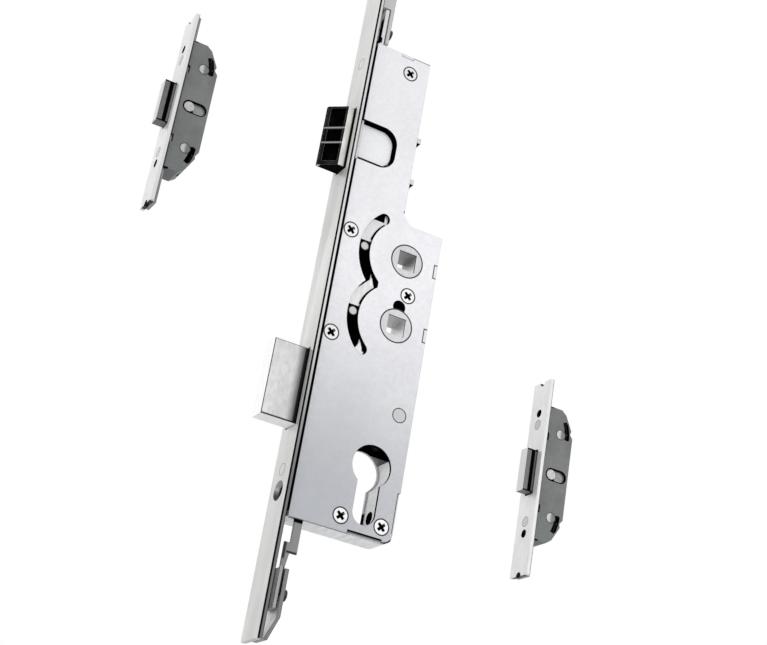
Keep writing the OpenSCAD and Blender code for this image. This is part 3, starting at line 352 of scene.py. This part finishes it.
# Centre faceplate: stainless, brushed along its length, with a painted reflection that darkens it towards its
# foot.
# Painted shade gives its long sides black lines at the front arris and the back edge, with a band between that is
# darker low down, greys its back face and shades its countersink from dark below to lighter above.
def plate_steel():
    p = Paint("plate_steel", edge_width=0.2)
    base = p.steel(240, 224, (2.4, 2.4, 0.05), 0.2, (1.0, 1.003, 0.972), 0.03)
    # Painted reflection: darker towards the foot
    base = p.mix(p.ramp(p.z, -140.0, 10.0, 0.42, 0.0), base, grey(176))
    shade = p.ramp(p.noise((0.12, 0.12, 0.014), 2.0, 0.5), 0.35, 0.68)
    base = p.mix(shade, p.mix(0.35, base, grey(178, (1.0, 1.0, 0.96))), base)
    # Painted shade on the long sides: black lines at the front arris and the back edge, a band between, darker low
    # down
    side = p.end_face(p.ny)
    lines = p.either(p.below(p.x, 0.85, 0.16), p.above(p.x, 1.82))
    band = p.mix(p.ramp(p.z, -115.0, -20.0), grey(104), p.mix(p.grain, grey(196), grey(226)))
    base = p.mix(side, base, p.mix(lines, band, grey(16)))
    # Painted shade: back face greyer, countersink dark below and lighter above
    base = p.mix(p.high_face(p.nx), base, grey(196))
    countersink = p.both(p.below(p.radius(p.y, p.z, 0.0, CYLINDER_SCREW_Z), 4.25, 0.05),
                         p.high_face(p.nx, -0.97, -0.85))
    base = p.mix(countersink, base, p.mix(p.ramp(p.z, -113.5, -107.5), grey(30), grey(150)))
    return p.finish(base, 0.5, (0.26, 0.42), p.grain, 0.25, dull=p.both(side, lines))


# Box faceplates: paler, with a broken sheen; painted shade darkens the back of their long sides, blackens their
# holes and greys their back faces
def box_plate_steel(name, origin):
    p = Paint(name, origin, 0.2)
    base = p.steel(238, 226, (1.2, 1.2, 0.12), 0.12, (1.0, 0.997, 0.994), 0.09)
    base = p.mix(p.end_face(p.ny), base, p.mix(p.above(p.x, 1.72, 0.12), grey(222), grey(84)))
    hole = p.both(p.edge_face(p.nx), p.below(p.size(p.y), 6.0))
    base = p.mix(hole, base, grey(14))
    base = p.mix(p.high_face(p.nx), base, grey(190))
    return p.finish(base, 0.45, (0.3, 0.44), p.grain, 0.2)


# Box cases: mid grey sheet, greener at the foot, with painted shade that makes them dark inside, round the stud's
# slot, at the corners by the faceplate and along the curved slots, and painted highlights on their edges
def box_steel(name, origin):
    p = Paint(name, origin, 0.3)
    base = p.steel(126, 110, (0.8, 0.8, 0.8), 0.12, (0.985, 1.0, 1.0), 0.07)
    base = p.mix(p.ramp(p.z, -36.0, -10.0, 0.7, 0.0), base, grey(120, (0.9, 1.0, 0.985)))
    base = p.edge_wear_and_shading(base, 0.5, grey(168))
    outer = p.below(p.y, BOX_COVER_Y, 0.05)
    openings = p.both(p.within(p.x, 3.9, 14.7), p.below(p.size(p.z), 34.0))
    inside = p.either(p.both(p.low_face(p.ny, *WIDE_LOW), p.above(p.y, 0.0)),
                      p.both(p.edge_face(p.ny), outer, p.either(openings, p.below(p.x, 4.0))))
    slot_from, slot_to, slot_r = BOX_STUD_SLOT
    nearest = p.math("MINIMUM", p.math("MAXIMUM", p.x, slot_from), slot_to)
    round_slot = p.below(p.radius(p.x, p.z, nearest, 0.0), slot_r)
    corner = p.both(p.above(p.size(p.z), 35.9), p.below(p.x, 5.0))
    arc_x, arc_z, arc_r, arc_half = BOX_ARC
    up = p.math("SUBTRACT", p.size(p.z), arc_z)
    arc = p.both(p.below(p.off(p.radius(p.x, up, arc_x, 0.0), arc_r), arc_half, 0.08), p.within(up, 0.4, 9.3))
    dark = p.either(inside, p.both(outer, p.either(round_slot, corner, arc)))
    base = p.mix(dark, base, grey(8))
    return p.finish(base, 0.4, (0.4, 0.52), p.grain, 0.15, dull=dark)


# Cover screws: bright turned heads, with the cross painted black as shade, both in its recess and as a painted
# cross on the head's face
def screw_steel():
    p = Paint("cover_screw_steel", edge_width=0.15)
    base = p.steel(240, 222, HEAD_GRAIN, 0.14)
    arms = []
    for x, z in SCREWS:
        dx, dz = p.math("SUBTRACT", p.x, x), p.math("SUBTRACT", p.z, z)
        one, two = [p.below(p.size(p.math(op, dx, dz)), CROSS_HALF) for op in ("ADD", "SUBTRACT")]
        arms.append(p.both(p.below(p.radius(p.x, p.z, x, z), CROSS_R), p.either(one, two)))
    cross = p.either(p.above(p.y, -6.36, 0.05), *arms)
    base = p.mix(cross, base, p.mix(p.grain, grey(3), grey(12)))
    return p.finish(base, 0.5, (0.24, 0.38), p.grain, 0.2, dull=cross)


# Turned steel of pins, rivets, springs, rails and lips, and the painted shade of the rings round heads and rivets
# and of the connector rivets
def pin_steel(name="fastener_steel", light=240, dark=220, metallic=0.5):
    p = Paint(name, edge_width=0.25)
    base = p.steel(light, dark, PIN_GRAIN, 0.14)
    base = p.edge_wear_and_shading(base, 0.6, grey(light * 0.45))
    return p.finish(base, metallic, (0.26, 0.4), p.grain, 0.2)


# Box rivets: painted light makes them pale on the half towards the faceplate, and painted shade makes them as dark
# as the case on the other
def box_rivet_steel(name, origin):
    p = Paint(name, origin, 0.25)
    base = p.steel(126, 112, PIN_GRAIN, 0.14)
    base = p.mix(p.below(p.x, BOX_RIVET[0] - 0.1, 0.9), base, p.mix(p.grain, grey(176), grey(206)))
    return p.finish(base, 0.4, (0.26, 0.4), p.grain, 0.2)


# Latch tail: pale, with a painted shadow line along its lower edge
def tail_steel():
    p = Paint("tail_steel", edge_width=0.25)
    line = p.below(p.z, 40.35)
    base = p.mix(line, p.steel(255, 248, PIN_GRAIN, 0.14), grey(14))
    return p.finish(base, 0.2, (0.26, 0.4), p.grain, 0.2, dull=line)


# Pins of the followers: pale on their ends, with painted shade making their sides black
def arm_pin_steel():
    p = Paint("arm_pin_steel", edge_width=0.25)
    side = p.edge_face(p.ny)
    base = p.mix(side, p.steel(208, 190, PIN_GRAIN, 0.14), grey(7))
    return p.finish(base, 0.3, (0.26, 0.4), p.grain, 0.2, dull=side)


# Block behind the cylinder hole: pale, with its screw hole painted black as shade
def block_steel():
    p = Paint("block_steel", edge_width=0.25)
    base = p.steel(240, 220, PIN_GRAIN, 0.14)
    base = p.edge_wear_and_shading(base, 0.6, grey(108))
    hole = p.below(p.radius(p.y, p.z, 0.0, CYLINDER_SCREW_Z), 2.76, 0.04)
    base = p.mix(hole, base, grey(5))
    return p.finish(base, 0.5, (0.26, 0.4), p.grain, 0.2, dull=hole)


# Drive slide and bars: pale pressed plate behind the slots and on the upper bar, darker below the case. Painted
# light makes the upper bar's inner side white. Painted shade makes black a band on the lower bar's flat faces, the
# far part of its inner side, lines round the foot, the plate at the slots' ends, beside the pins and the lips and
# where it leaves the case, the near, low part of the upper bar's inner side and its foot, and the cut edges inside
# the case.
def slide_steel():
    p = Paint("drive_steel", edge_width=0.22)
    base = p.steel(236, 220, (0.6, 0.6, 0.1), 0.14)
    cut = p.edge_face(p.ny)
    inner = p.low_face(p.nx)
    on_upper_bar = p.above(p.z, UPPER_BAR_Z)
    on_lower_bar = p.below(p.z, LOWER_BAR_Z, 0.3)
    base = p.mix(p.below(p.z, -121.0, 2.0), base, p.mix(p.grain, grey(112), grey(146)))
    base = p.mix(p.both(on_lower_bar, cut), base, p.mix(p.grain, grey(150), grey(188)))
    # Painted shade: a black band on the lower bar's flat faces, and black on the far part of its inner side
    flat = p.both(on_lower_bar, p.above(p.size(p.ny), 0.8))
    base = p.mix(flat, base, p.mix(p.below(p.x, 6.05), grey(10), grey(158)))
    base = p.mix(p.both(inner, on_lower_bar), base, p.mix(p.above(p.y, -2.2, 0.2), grey(158), grey(8)))
    # Painted light: the upper bar's inner side white
    base = p.mix(p.both(inner, on_upper_bar), base, grey(255))
    # Painted shadow lines round the foot
    foot = p.either(p.both(p.below(p.z, -134.6, 0.15), p.above(p.z, -135.5), p.above(p.x, 6.0)),
                    p.both(p.below(p.z, -130.9, 0.2), p.above(p.z, -138.0, 0.8), p.below(p.x, 5.7, 0.3)))
    base = p.mix(foot, base, grey(24))
    base = p.edge_wear_and_shading(base, 0.8, grey(26))
    # Painted shade: black at the slots' ends, beside the pins and the lips, where the plate leaves the case, on
    # the upper bar's inner side and foot, and on the cut edges inside the case
    tip = p.both(p.within(p.z, 13.95, 24.0), p.below(p.x, 22.1, 0.15))
    beside_pins = p.both(p.either(*[p.below(p.off(p.z, z), 3.2) for _, z in HUBS]), p.below(p.x, 23.0))
    behind_tip = p.both(p.within(p.z, 12.0, 24.0), p.above(p.x, 23.45, 0.15))
    beside_lip = p.both(p.within(p.z, -50.0, -42.5), p.above(p.x, 23.05))
    root = p.both(p.above(p.z, -123.0, 0.3), p.below(p.z, -119.0))
    bar_side = p.both(inner, p.below(p.y, -1.8, 0.2), p.ramp(p.z, 110.0, 113.0, 1.0, 0.0))
    bar_foot = p.both(p.below(p.z, 100.7), p.below(p.x, 5.5))
    case_cuts = p.both(cut, p.above(p.z, -125.0), p.above(p.x, 9.0))
    dark = p.either(tip, behind_tip, beside_lip, root, p.both(on_upper_bar, p.either(bar_side, bar_foot)),
                    beside_pins, case_cuts)
    base = p.mix(dark, base, grey(6))
    return p.finish(base, 0.45, (0.32, 0.46), p.grain, 0.2, dull=dark)


# Connecting bars: pale on their flat faces and darker below the case; painted shade darkens their narrow sides,
# most of all below the case, blackens the inner face above its lower end and outlines their edges in black
def link_steel():
    p = Paint("link_steel", edge_width=0.45)
    base = p.steel(232, 208, (0.35, 0.35, 0.12), 0.22, (1.0, 1.0, 0.97))
    lower = p.below(p.z, 0.0)
    base = p.mix(lower, base, p.mix(p.grain, grey(132), grey(168)))
    # Painted shade: narrow sides darker, most of all below the case, and the inner face black above its lower end
    base = p.mix(p.end_face(p.ny), base, p.mix(p.above(p.z, 0.0), grey(118), grey(196)))
    inner = p.both(p.low_face(p.nx), lower)
    base = p.mix(inner, base, p.mix(p.above(p.z, -152.3, 0.4), grey(236), grey(10)))
    base = p.edge_wear_and_shading(base, 0.95, grey(12))
    return p.finish(base, 0.5, (0.3, 0.44), p.grain, 0.2)


# Posts and levers inside the case
def dark_steel():
    p = Paint("dark_steel", edge_width=0.2)
    base = p.steel(52, 22, HEAD_GRAIN, 0.2)
    return p.finish(base, 0.6, (0.26, 0.4), p.grain, 0.2)


# Deadbolt: cast and ground, painted near white on its front and underside as lit, painted shaded and then black
# towards the faceplate, with dark arrises of painted shade round its sides
def bolt_zinc():
    p = Paint("deadbolt_zinc", edge_width=0.22)
    tint = (1.0, 1.003, 0.985)
    spots = p.noise((0.9, 0.9, 0.35), 5.0, 0.65)
    fog = p.ramp(p.noise((0.11, 0.11, 0.05), 3.0, 0.5), 0.3, 0.72)
    base = p.mix(fog, grey(196, tint), grey(214, tint))
    base = p.mix(p.ramp(spots, 0.35, 0.7, 0.0, 0.3), base, grey(160))
    side = p.end_face(p.ny)
    # Painted shade on the sides, then black, towards the faceplate
    base = p.mix(p.both(side, p.ramp(p.x, -5.2, -1.2)), base, grey(112))
    base = p.mix(p.both(side, p.ramp(p.x, -1.6, -1.1)), base, grey(8))
    # Painted light: front and underside near white
    lit = p.either(p.low_face(p.nx), p.low_face(p.nz))
    base = p.mix(lit, base, p.mix(p.ramp(spots, 0.35, 0.7), grey(244), grey(253)))
    # Painted shade on the arrises round the sides
    front, low, top = p.below(p.x, -14.72, 0.12), p.below(p.z, -83.35, 0.14), p.above(p.z, -51.75, 0.12)
    arris = p.both(side, p.either(front, low, top))
    base = p.mix(p.math("MULTIPLY", arris, 0.9), base, grey(12))
    return p.finish(base, 0.5, (0.3, 0.46), spots, 0.3, 0.04, dull=p.either(lit, arris))


# Box bolts: pale front and mid grey sides, painted as lit and shaded faces of one zinc, painted black shadow lines
# where they enter the faceplate and at their ends, and a pale stud with its edges painted dark
def box_bolt_zinc(name, origin):
    p = Paint(name, origin, 0.25)
    spots = p.noise((1.1, 1.1, 0.5), 5.0, 0.65)
    clouds = p.ramp(spots, 0.3, 0.7)
    base = p.mix(clouds, grey(98), grey(118))
    # Painted light and shade: pale front, mid grey sides
    base = p.mix(p.low_face(p.nx), base, p.mix(spots, grey(204), grey(222)))
    # Painted shadow lines where the bolt enters the faceplate and at its ends
    entry = p.both(p.ramp(p.x, -3.5, -3.1), p.below(p.x, -1.1, 0.2))
    ends = p.both(p.above(p.size(p.z), 10.7, 0.2), p.below(p.x, 0.0))
    lines = p.both(p.end_face(p.ny), p.either(entry, ends))
    base = p.mix(lines, base, grey(7))
    stud = p.below(p.y, -3.3)
    base = p.mix(stud, base, p.mix(p.below(p.y, -5.9), grey(128), p.mix(clouds, grey(164), grey(206))))
    # Painted shade on the stud's edges
    base = p.mix(p.both(stud, p.math("MULTIPLY", p.edge, 0.7)), base, grey(50))
    return p.finish(base, 0.5, (0.3, 0.44), spots, 0.3, 0.04, dull=lines)


# Followers: pale turned collars, socket walls with painted shade that differs between the two hubs and a dark
# painted edge at the opening, and arms painted black as shade
def follower_zinc():
    p = Paint("follower_zinc", edge_width=0.2)
    tint = (1.0, 1.0, 1.02)
    spots = p.noise((0.8, 0.8, 0.8), 4.0, 0.6)
    ring = p.noise((0.1, 0.1, 0.1), 2.0, 0.5)
    base = p.mix(p.ramp(spots, 0.3, 0.7), grey(196, tint), grey(212, tint))
    base = p.mix(p.math("MULTIPLY", p.ramp(ring, 0.4, 0.7), 0.3), base, grey(190))
    from_hubs = [p.radius(p.x, p.z, *hub) for hub in HUBS]
    # Painted shade on the socket walls, different in the two hubs, and dark at the opening
    wall = p.both(p.edge_face(p.ny), p.either(*[p.below(r, SOCKET_R) for r in from_hubs]))
    upper = p.above(p.z, -15.0, 1.0)
    rises = [p.ramp(p.z, z - 4.0, z + 4.0, 1.0, 0.0) for _, z in HUBS]
    rise = p.mix(upper, rises[1], rises[0])
    depth = p.ramp(p.math("ADD", rise, p.math("MULTIPLY", spots, 0.5)), 0.15, 1.2)
    base = p.mix(wall, base, p.mix(depth, p.mix(upper, grey(206), grey(160)), p.mix(upper, grey(253), grey(248))))
    base = p.mix(p.both(wall, p.below(p.y, -5.8, 0.15)), base, grey(34))
    # Arms painted black as shade
    arm = p.both(*[p.above(r, ARM_FROM_R) for r in from_hubs])
    base = p.mix(arm, base, grey(6))
    return p.finish(base, 0.45, (0.28, 0.44), spots, 0.3, 0.03, dull=arm)


# Latch head: polished chrome, with near-black painted reflections on its frame and in the hollows of its bevel,
# painted highlights along its ribs and edges, pale on the bar behind the hollows with a painted shadow line by the
# faceplate, pale on its far side, painted pale on top as lit and black underneath as shade, but pale at the tip
def latch_chrome():
    p = Paint("latch_chrome", edge_width=0.2)
    warm = (1.0, 0.995, 0.95)
    fog = p.noise((0.25, 0.25, 0.12), 3.0, 0.5)
    above_bevel = p.math("ADD", *[
        p.math("MULTIPLY", p.math("SUBTRACT", axis, at), lean)
        for axis, at, lean in zip((p.x, p.y), BEVEL_POINT, BEVEL_NORMAL)])
    # Painted reflection: frame near black, with painted highlights along the ribs
    ribs = p.mix(p.ramp(fog, 0.35, 0.7), grey(14), grey(40))
    lines = p.either(*[p.below(p.off(p.z, z), 0.32, 0.15) for z in LATCH_RIB_Z])
    ribs = p.mix(lines, ribs, grey(150))
    base = p.edge_wear_and_shading(ribs, 0.7, grey(176))
    # Hollows painted near black as reflection
    hollow = p.below(above_bevel, -0.3)
    base = p.mix(hollow, base, p.mix(p.ramp(fog, 0.5, 0.75), grey(2), grey(14)))
    bar = p.above(p.x, -3.15, 0.2)
    base = p.mix(bar, base, p.mix(p.ramp(fog, 0.3, 0.7), grey(196, warm), grey(226, warm)))
    # Painted shadow line on the bar by the faceplate
    base = p.mix(p.both(bar, p.above(p.x, -0.8, 0.3)), base, grey(20))
    # Top painted pale as lit
    top = p.both(p.high_face(p.nz, 0.6, 0.85), p.above(p.z, 61.9))
    base = p.mix(top, base, grey(236))
    # Underside painted black as shade, but pale at the tip
    foot = p.both(p.low_face(p.nz), p.below(p.z, 33.2))
    base = p.mix(foot, base, grey(14))
    base = p.mix(p.both(foot, p.below(p.x, -9.0, 0.4)), base, grey(200))
    base = p.mix(p.above(p.y, 4.3, 0.05), base, grey(206))
    dull = p.either(foot, p.flip(p.either(bar, top)))
    return p.finish(base, 0.6, (0.14, 0.24), fog, 0.1, dull=dull)


PLATE = plate_steel()
PIN = pin_steel()
ARM_PIN = arm_pin_steel()
LIP = pin_steel("lip_steel", 253, 244, 0.2)
RAIL = pin_steel("rail_steel", 166, 140, 0.4)
# Near-black painted shadow, for the rings round heads, collars, pins and box rivets and for the connector rivets
SHADE_BLACK = pin_steel("seam_shadow", 24, 12, 0.0)
# Spring wire, also used for the grey painted shade rings round the faceplate rivets
WIRE_AND_RIM_SHADE = pin_steel("spring_wire", 150, 120, 0.8)
SLIDE = slide_steel()
LINK = link_steel()
DARK = dark_steel()
HUB = follower_zinc()

FINISH = {
    "faceplate": PLATE,
    "faceplate_rivets": PLATE,
    "case_tray": tray_steel(),
    "case_cover": cover_steel(),
    "cover_posts": DARK,
    "cover_screws": screw_steel(),
    "cylinder_screw_block": block_steel(),
    "key_lever_rivet": pin_steel("cover_rivet_steel", 198, 188, 0.3),
    "key_lever": DARK,
    "key_lever_pin": PIN,
    "deadbolt": bolt_zinc(),
    "latch_head": latch_chrome(),
    "latch_tail": tail_steel(),
    "latch_lever": DARK,
    "latch_lever_stud": PIN,
    "latch_spring": WIRE_AND_RIM_SHADE,
    "upper_follower": HUB,
    "lower_follower": HUB,
    "upper_arm_pin": ARM_PIN,
    "lower_arm_pin": ARM_PIN,
    "upper_return_spring": WIRE_AND_RIM_SHADE,
    "lower_return_spring": WIRE_AND_RIM_SHADE,
    "drive_slide": SLIDE,
    "upper_drive_bar": SLIDE,
    "upper_connector": LINK,
    "lower_connector": LINK,
    # The connector rivets are painted black as shade
    "connector_rivets": SHADE_BLACK,
}
for side, origin in BOXES.items():
    FINISH[side + "faceplate"] = box_plate_steel(side + "plate_steel", origin)
    FINISH[side + "faceplate_rivets"] = pin_steel(side + "plate_rivet_steel", 206, 190, 0.35)
    FINISH[side + "tray"] = box_steel(side + "steel", origin)
    FINISH[side + "cover"] = FINISH[side + "tray"]
    FINISH[side + "bolt"] = box_bolt_zinc(side + "bolt_zinc", origin)
    FINISH[side + "drive_rail"] = RAIL
    FINISH[side + "case_rivets"] = box_rivet_steel(side + "rivet_steel", origin)

for name, obj in nodes.items():
    if not obj.material_slots:
        raise SystemExit("no material slot on " + name)
    for slot in obj.material_slots:
        slot.material = FINISH[name]


# A new object in the scene
def place_object(name, data):
    obj = bpy.data.objects.new(name, data)
    bpy.context.scene.collection.objects.link(obj)
    return obj


# An added piece of the part, which moves with a body
def piece(name, bm, mat, body):
    bmesh.ops.recalc_face_normals(bm, faces=bm.faces)
    mesh = bpy.data.meshes.new(name)
    bm.to_mesh(mesh)
    bm.free()
    mesh.materials.append(mat)
    obj = place_object(name, mesh)
    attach(obj, body)


# Rings lathed round an axis along X or Y, joined into one piece: thin rings of painted shadow round heads,
# collars, pins and rivets. Each ring is its centre and its inner and outer radius. They stand out of their plane
# by the height.
def shade_rings(name, axis, plane, rings, mat, body, height=0.03, segments=72):
    bm = bmesh.new()
    for a, b, inner, outer in rings:
        profile = ((inner, 0.0), (inner, -height), (outer, -height), (outer, 0.0))
        loops = []
        for i in range(segments):
            t = 2 * math.pi * i / segments
            loop = []
            for r, up in profile:
                u, v = a + r * math.cos(t), b + r * math.sin(t)
                place = (plane + up, u, v) if axis == "X" else (u, plane + up, v)
                loop.append(bm.verts.new(Vector(place) * MM))
            loops.append(loop)
        for one, two in zip(loops, loops[1:] + loops[:1]):
            for k in range(4):
                m = (k + 1) % 4
                bm.faces.new((one[k], one[m], two[m], two[k]))
    piece(name, bm, mat, body)


def finger_lips():
    bm = bmesh.new()
    for outline in LIPS:
        near, far = [[bm.verts.new(Vector((x, y, z)) * MM) for x, z in outline] for y in LIP_Y]
        bm.faces.new(near)
        bm.faces.new(far)
        for one, two, three, four in zip(near, near[1:] + near[:1], far[1:] + far[:1], far):
            bm.faces.new((one, two, three, four))
    piece("finger_lips", bm, LIP, "drive")


finger_lips()
# Painted shadow: near-black rings round the cover screws, the collars, the key lever's rivet, the followers' pins
# and the box rivets, and grey painted shade rings round the faceplate rivets
shade_rings("screw_shade_rings", "Y", NEAR, [(x, z, SCREW_R - 0.4, SCREW_R + 0.16) for x, z in SCREWS],
     SHADE_BLACK, "lock_case")
shade_rings("collar_shade_rings", "Y", NEAR, [(x, z, COLLAR_R - 0.2, COLLAR_R + 0.38) for x, z in HUBS],
     SHADE_BLACK, "lock_case")
shade_rings("key_rivet_shade_ring", "Y", NEAR, [(x, z, r - 0.16, r + 0.24) for x, z, r in (KEY_RIVET,)],
     SHADE_BLACK, "lock_case")
shade_rings("plate_rivet_shade_rings", "X", 0.0, [(0.0, z, PLATE_RIVET_R, PLATE_RIVET_R + 0.24) for z in PLATE_RIVET_Z],
     WIRE_AND_RIM_SHADE, "lock_case")
for body, (x, z) in (("handle_follower", UPPER_HUB), ("second_follower", LOWER_HUB)):
    shade_rings(body + "_pin_shade_ring", "Y", NEAR + PIN_SINK, [(x - PIN_ARM, z, PIN_R, PIN_R + 0.38)],
         SHADE_BLACK, body)
for side, (x, y, z) in BOXES.items():
    rivet_x, rivet_z, rivet_r = BOX_RIVET
    shade_rings(side + "case_rivet_shade_rings", "Y", y + NEAR,
         [(x + rivet_x, z + s * rivet_z, rivet_r, rivet_r + 0.35) for s in (-1, 1)],
         SHADE_BLACK, "lock_case")
    shade_rings(side + "plate_rivet_shade_rings", "X", x,
         [(y, z + s * BOX_PLATE_RIVET_Z, rivet_r, rivet_r + 0.28) for s in (-1, 1)],
         WIRE_AND_RIM_SHADE, "lock_case")

# Stage, in metres and watts: the floor, the lights as (name, place, size, power), the point they look at, and the
# camera that was solved from the photo
FLOOR_HALF = 6.0
FLOOR_DROP = 0.16
LIGHTS = (
    ("key", (-0.9, -0.55, 0.55), 0.7, 2.2),
    ("fill", (0.7, -1.0, 0.25), 0.9, 1.6),
    ("low", (-0.75, -0.2, -0.24), 0.5, 2.0),
)
LIT_POINT = Vector((0.03, 0.0, -0.02))
CAMERA_LENS = 74.1344
CAMERA_RIGHT = Vector((0.8715812, -0.4637653, 0.158959))
CAMERA_UP = Vector((-0.3156513, -0.2827646, 0.905764))
CAMERA_BACK = Vector((-0.375114, -0.8396225, -0.3928404))
CAMERA_PLACE = Vector((-0.216465, -0.556236, -0.287742))


# Pale paper under the part
def floor_sheet():
    bm = bmesh.new()
    bmesh.ops.create_grid(bm, x_segments=1, y_segments=1, size=FLOOR_HALF)
    mesh = bpy.data.meshes.new("floor")
    bm.to_mesh(mesh)
    bm.free()
    mat = bpy.data.materials.new("floor_paper")
    mat.use_nodes = True
    bsdf = mat.node_tree.nodes["Principled BSDF"]
    bsdf.inputs["Base Color"].default_value = (0.86, 0.86, 0.86, 1.0)
    bsdf.inputs["Roughness"].default_value = 0.9
    bsdf.inputs["Specular IOR Level"].default_value = 0.1
    mesh.materials.append(mat)
    floor = place_object("floor", mesh)
    floor.location = (0, 0, cad_box[0][2] - FLOOR_DROP)


# Soft light from all round, and plain white where the camera, a reflection or a see-through ray meets the world
def studio_world():
    world = bpy.data.worlds.new("studio")
    bpy.context.scene.world = world
    world.use_nodes = True
    tree = world.node_tree
    tree.nodes.clear()
    out = tree.nodes.new("ShaderNodeOutputWorld")
    mix = tree.nodes.new("ShaderNodeMixShader")
    soft = tree.nodes.new("ShaderNodeBackground")
    white = tree.nodes.new("ShaderNodeBackground")
    path = tree.nodes.new("ShaderNodeLightPath")
    seen = tree.nodes.new("ShaderNodeMath")
    seen_all = tree.nodes.new("ShaderNodeMath")
    seen.operation = "MAXIMUM"
    seen_all.operation = "MAXIMUM"
    soft.inputs["Color"].default_value = (0.97, 0.98, 1.0, 1.0)
    soft.inputs["Strength"].default_value = 0.72
    white.inputs["Color"].default_value = (1.0, 1.0, 1.0, 1.0)
    white.inputs["Strength"].default_value = 1.0
    tree.links.new(path.outputs["Is Camera Ray"], seen.inputs[0])
    tree.links.new(path.outputs["Is Glossy Ray"], seen.inputs[1])
    tree.links.new(seen.outputs[0], seen_all.inputs[0])
    tree.links.new(path.outputs["Is Transmission Ray"], seen_all.inputs[1])
    tree.links.new(seen_all.outputs[0], mix.inputs[0])
    tree.links.new(soft.outputs[0], mix.inputs[1])
    tree.links.new(white.outputs[0], mix.inputs[2])
    tree.links.new(mix.outputs[0], out.inputs["Surface"])


def studio_lights():
    for name, place, size, power in LIGHTS:
        light = bpy.data.lights.new(name, "AREA")
        light.shape = "DISK"
        light.size = size
        light.energy = power
        obj = place_object(name, light)
        obj.location = place
        obj.rotation_euler = (LIT_POINT - Vector(place)).to_track_quat("-Z", "Y").to_euler()


def camera():
    data = bpy.data.cameras.new("camera")
    data.sensor_fit = "HORIZONTAL"
    data.sensor_width = 36.0
    data.lens = CAMERA_LENS
    data.clip_start = 0.01
    data.clip_end = 20.0
    obj = place_object("camera", data)
    place = Matrix((CAMERA_RIGHT, CAMERA_UP, CAMERA_BACK)).transposed().to_4x4()
    place.translation = CAMERA_PLACE
    obj.matrix_world = place
    bpy.context.scene.camera = obj


floor_sheet()
studio_world()
studio_lights()
camera()
bpy.context.scene.view_settings.view_transform = "Standard"
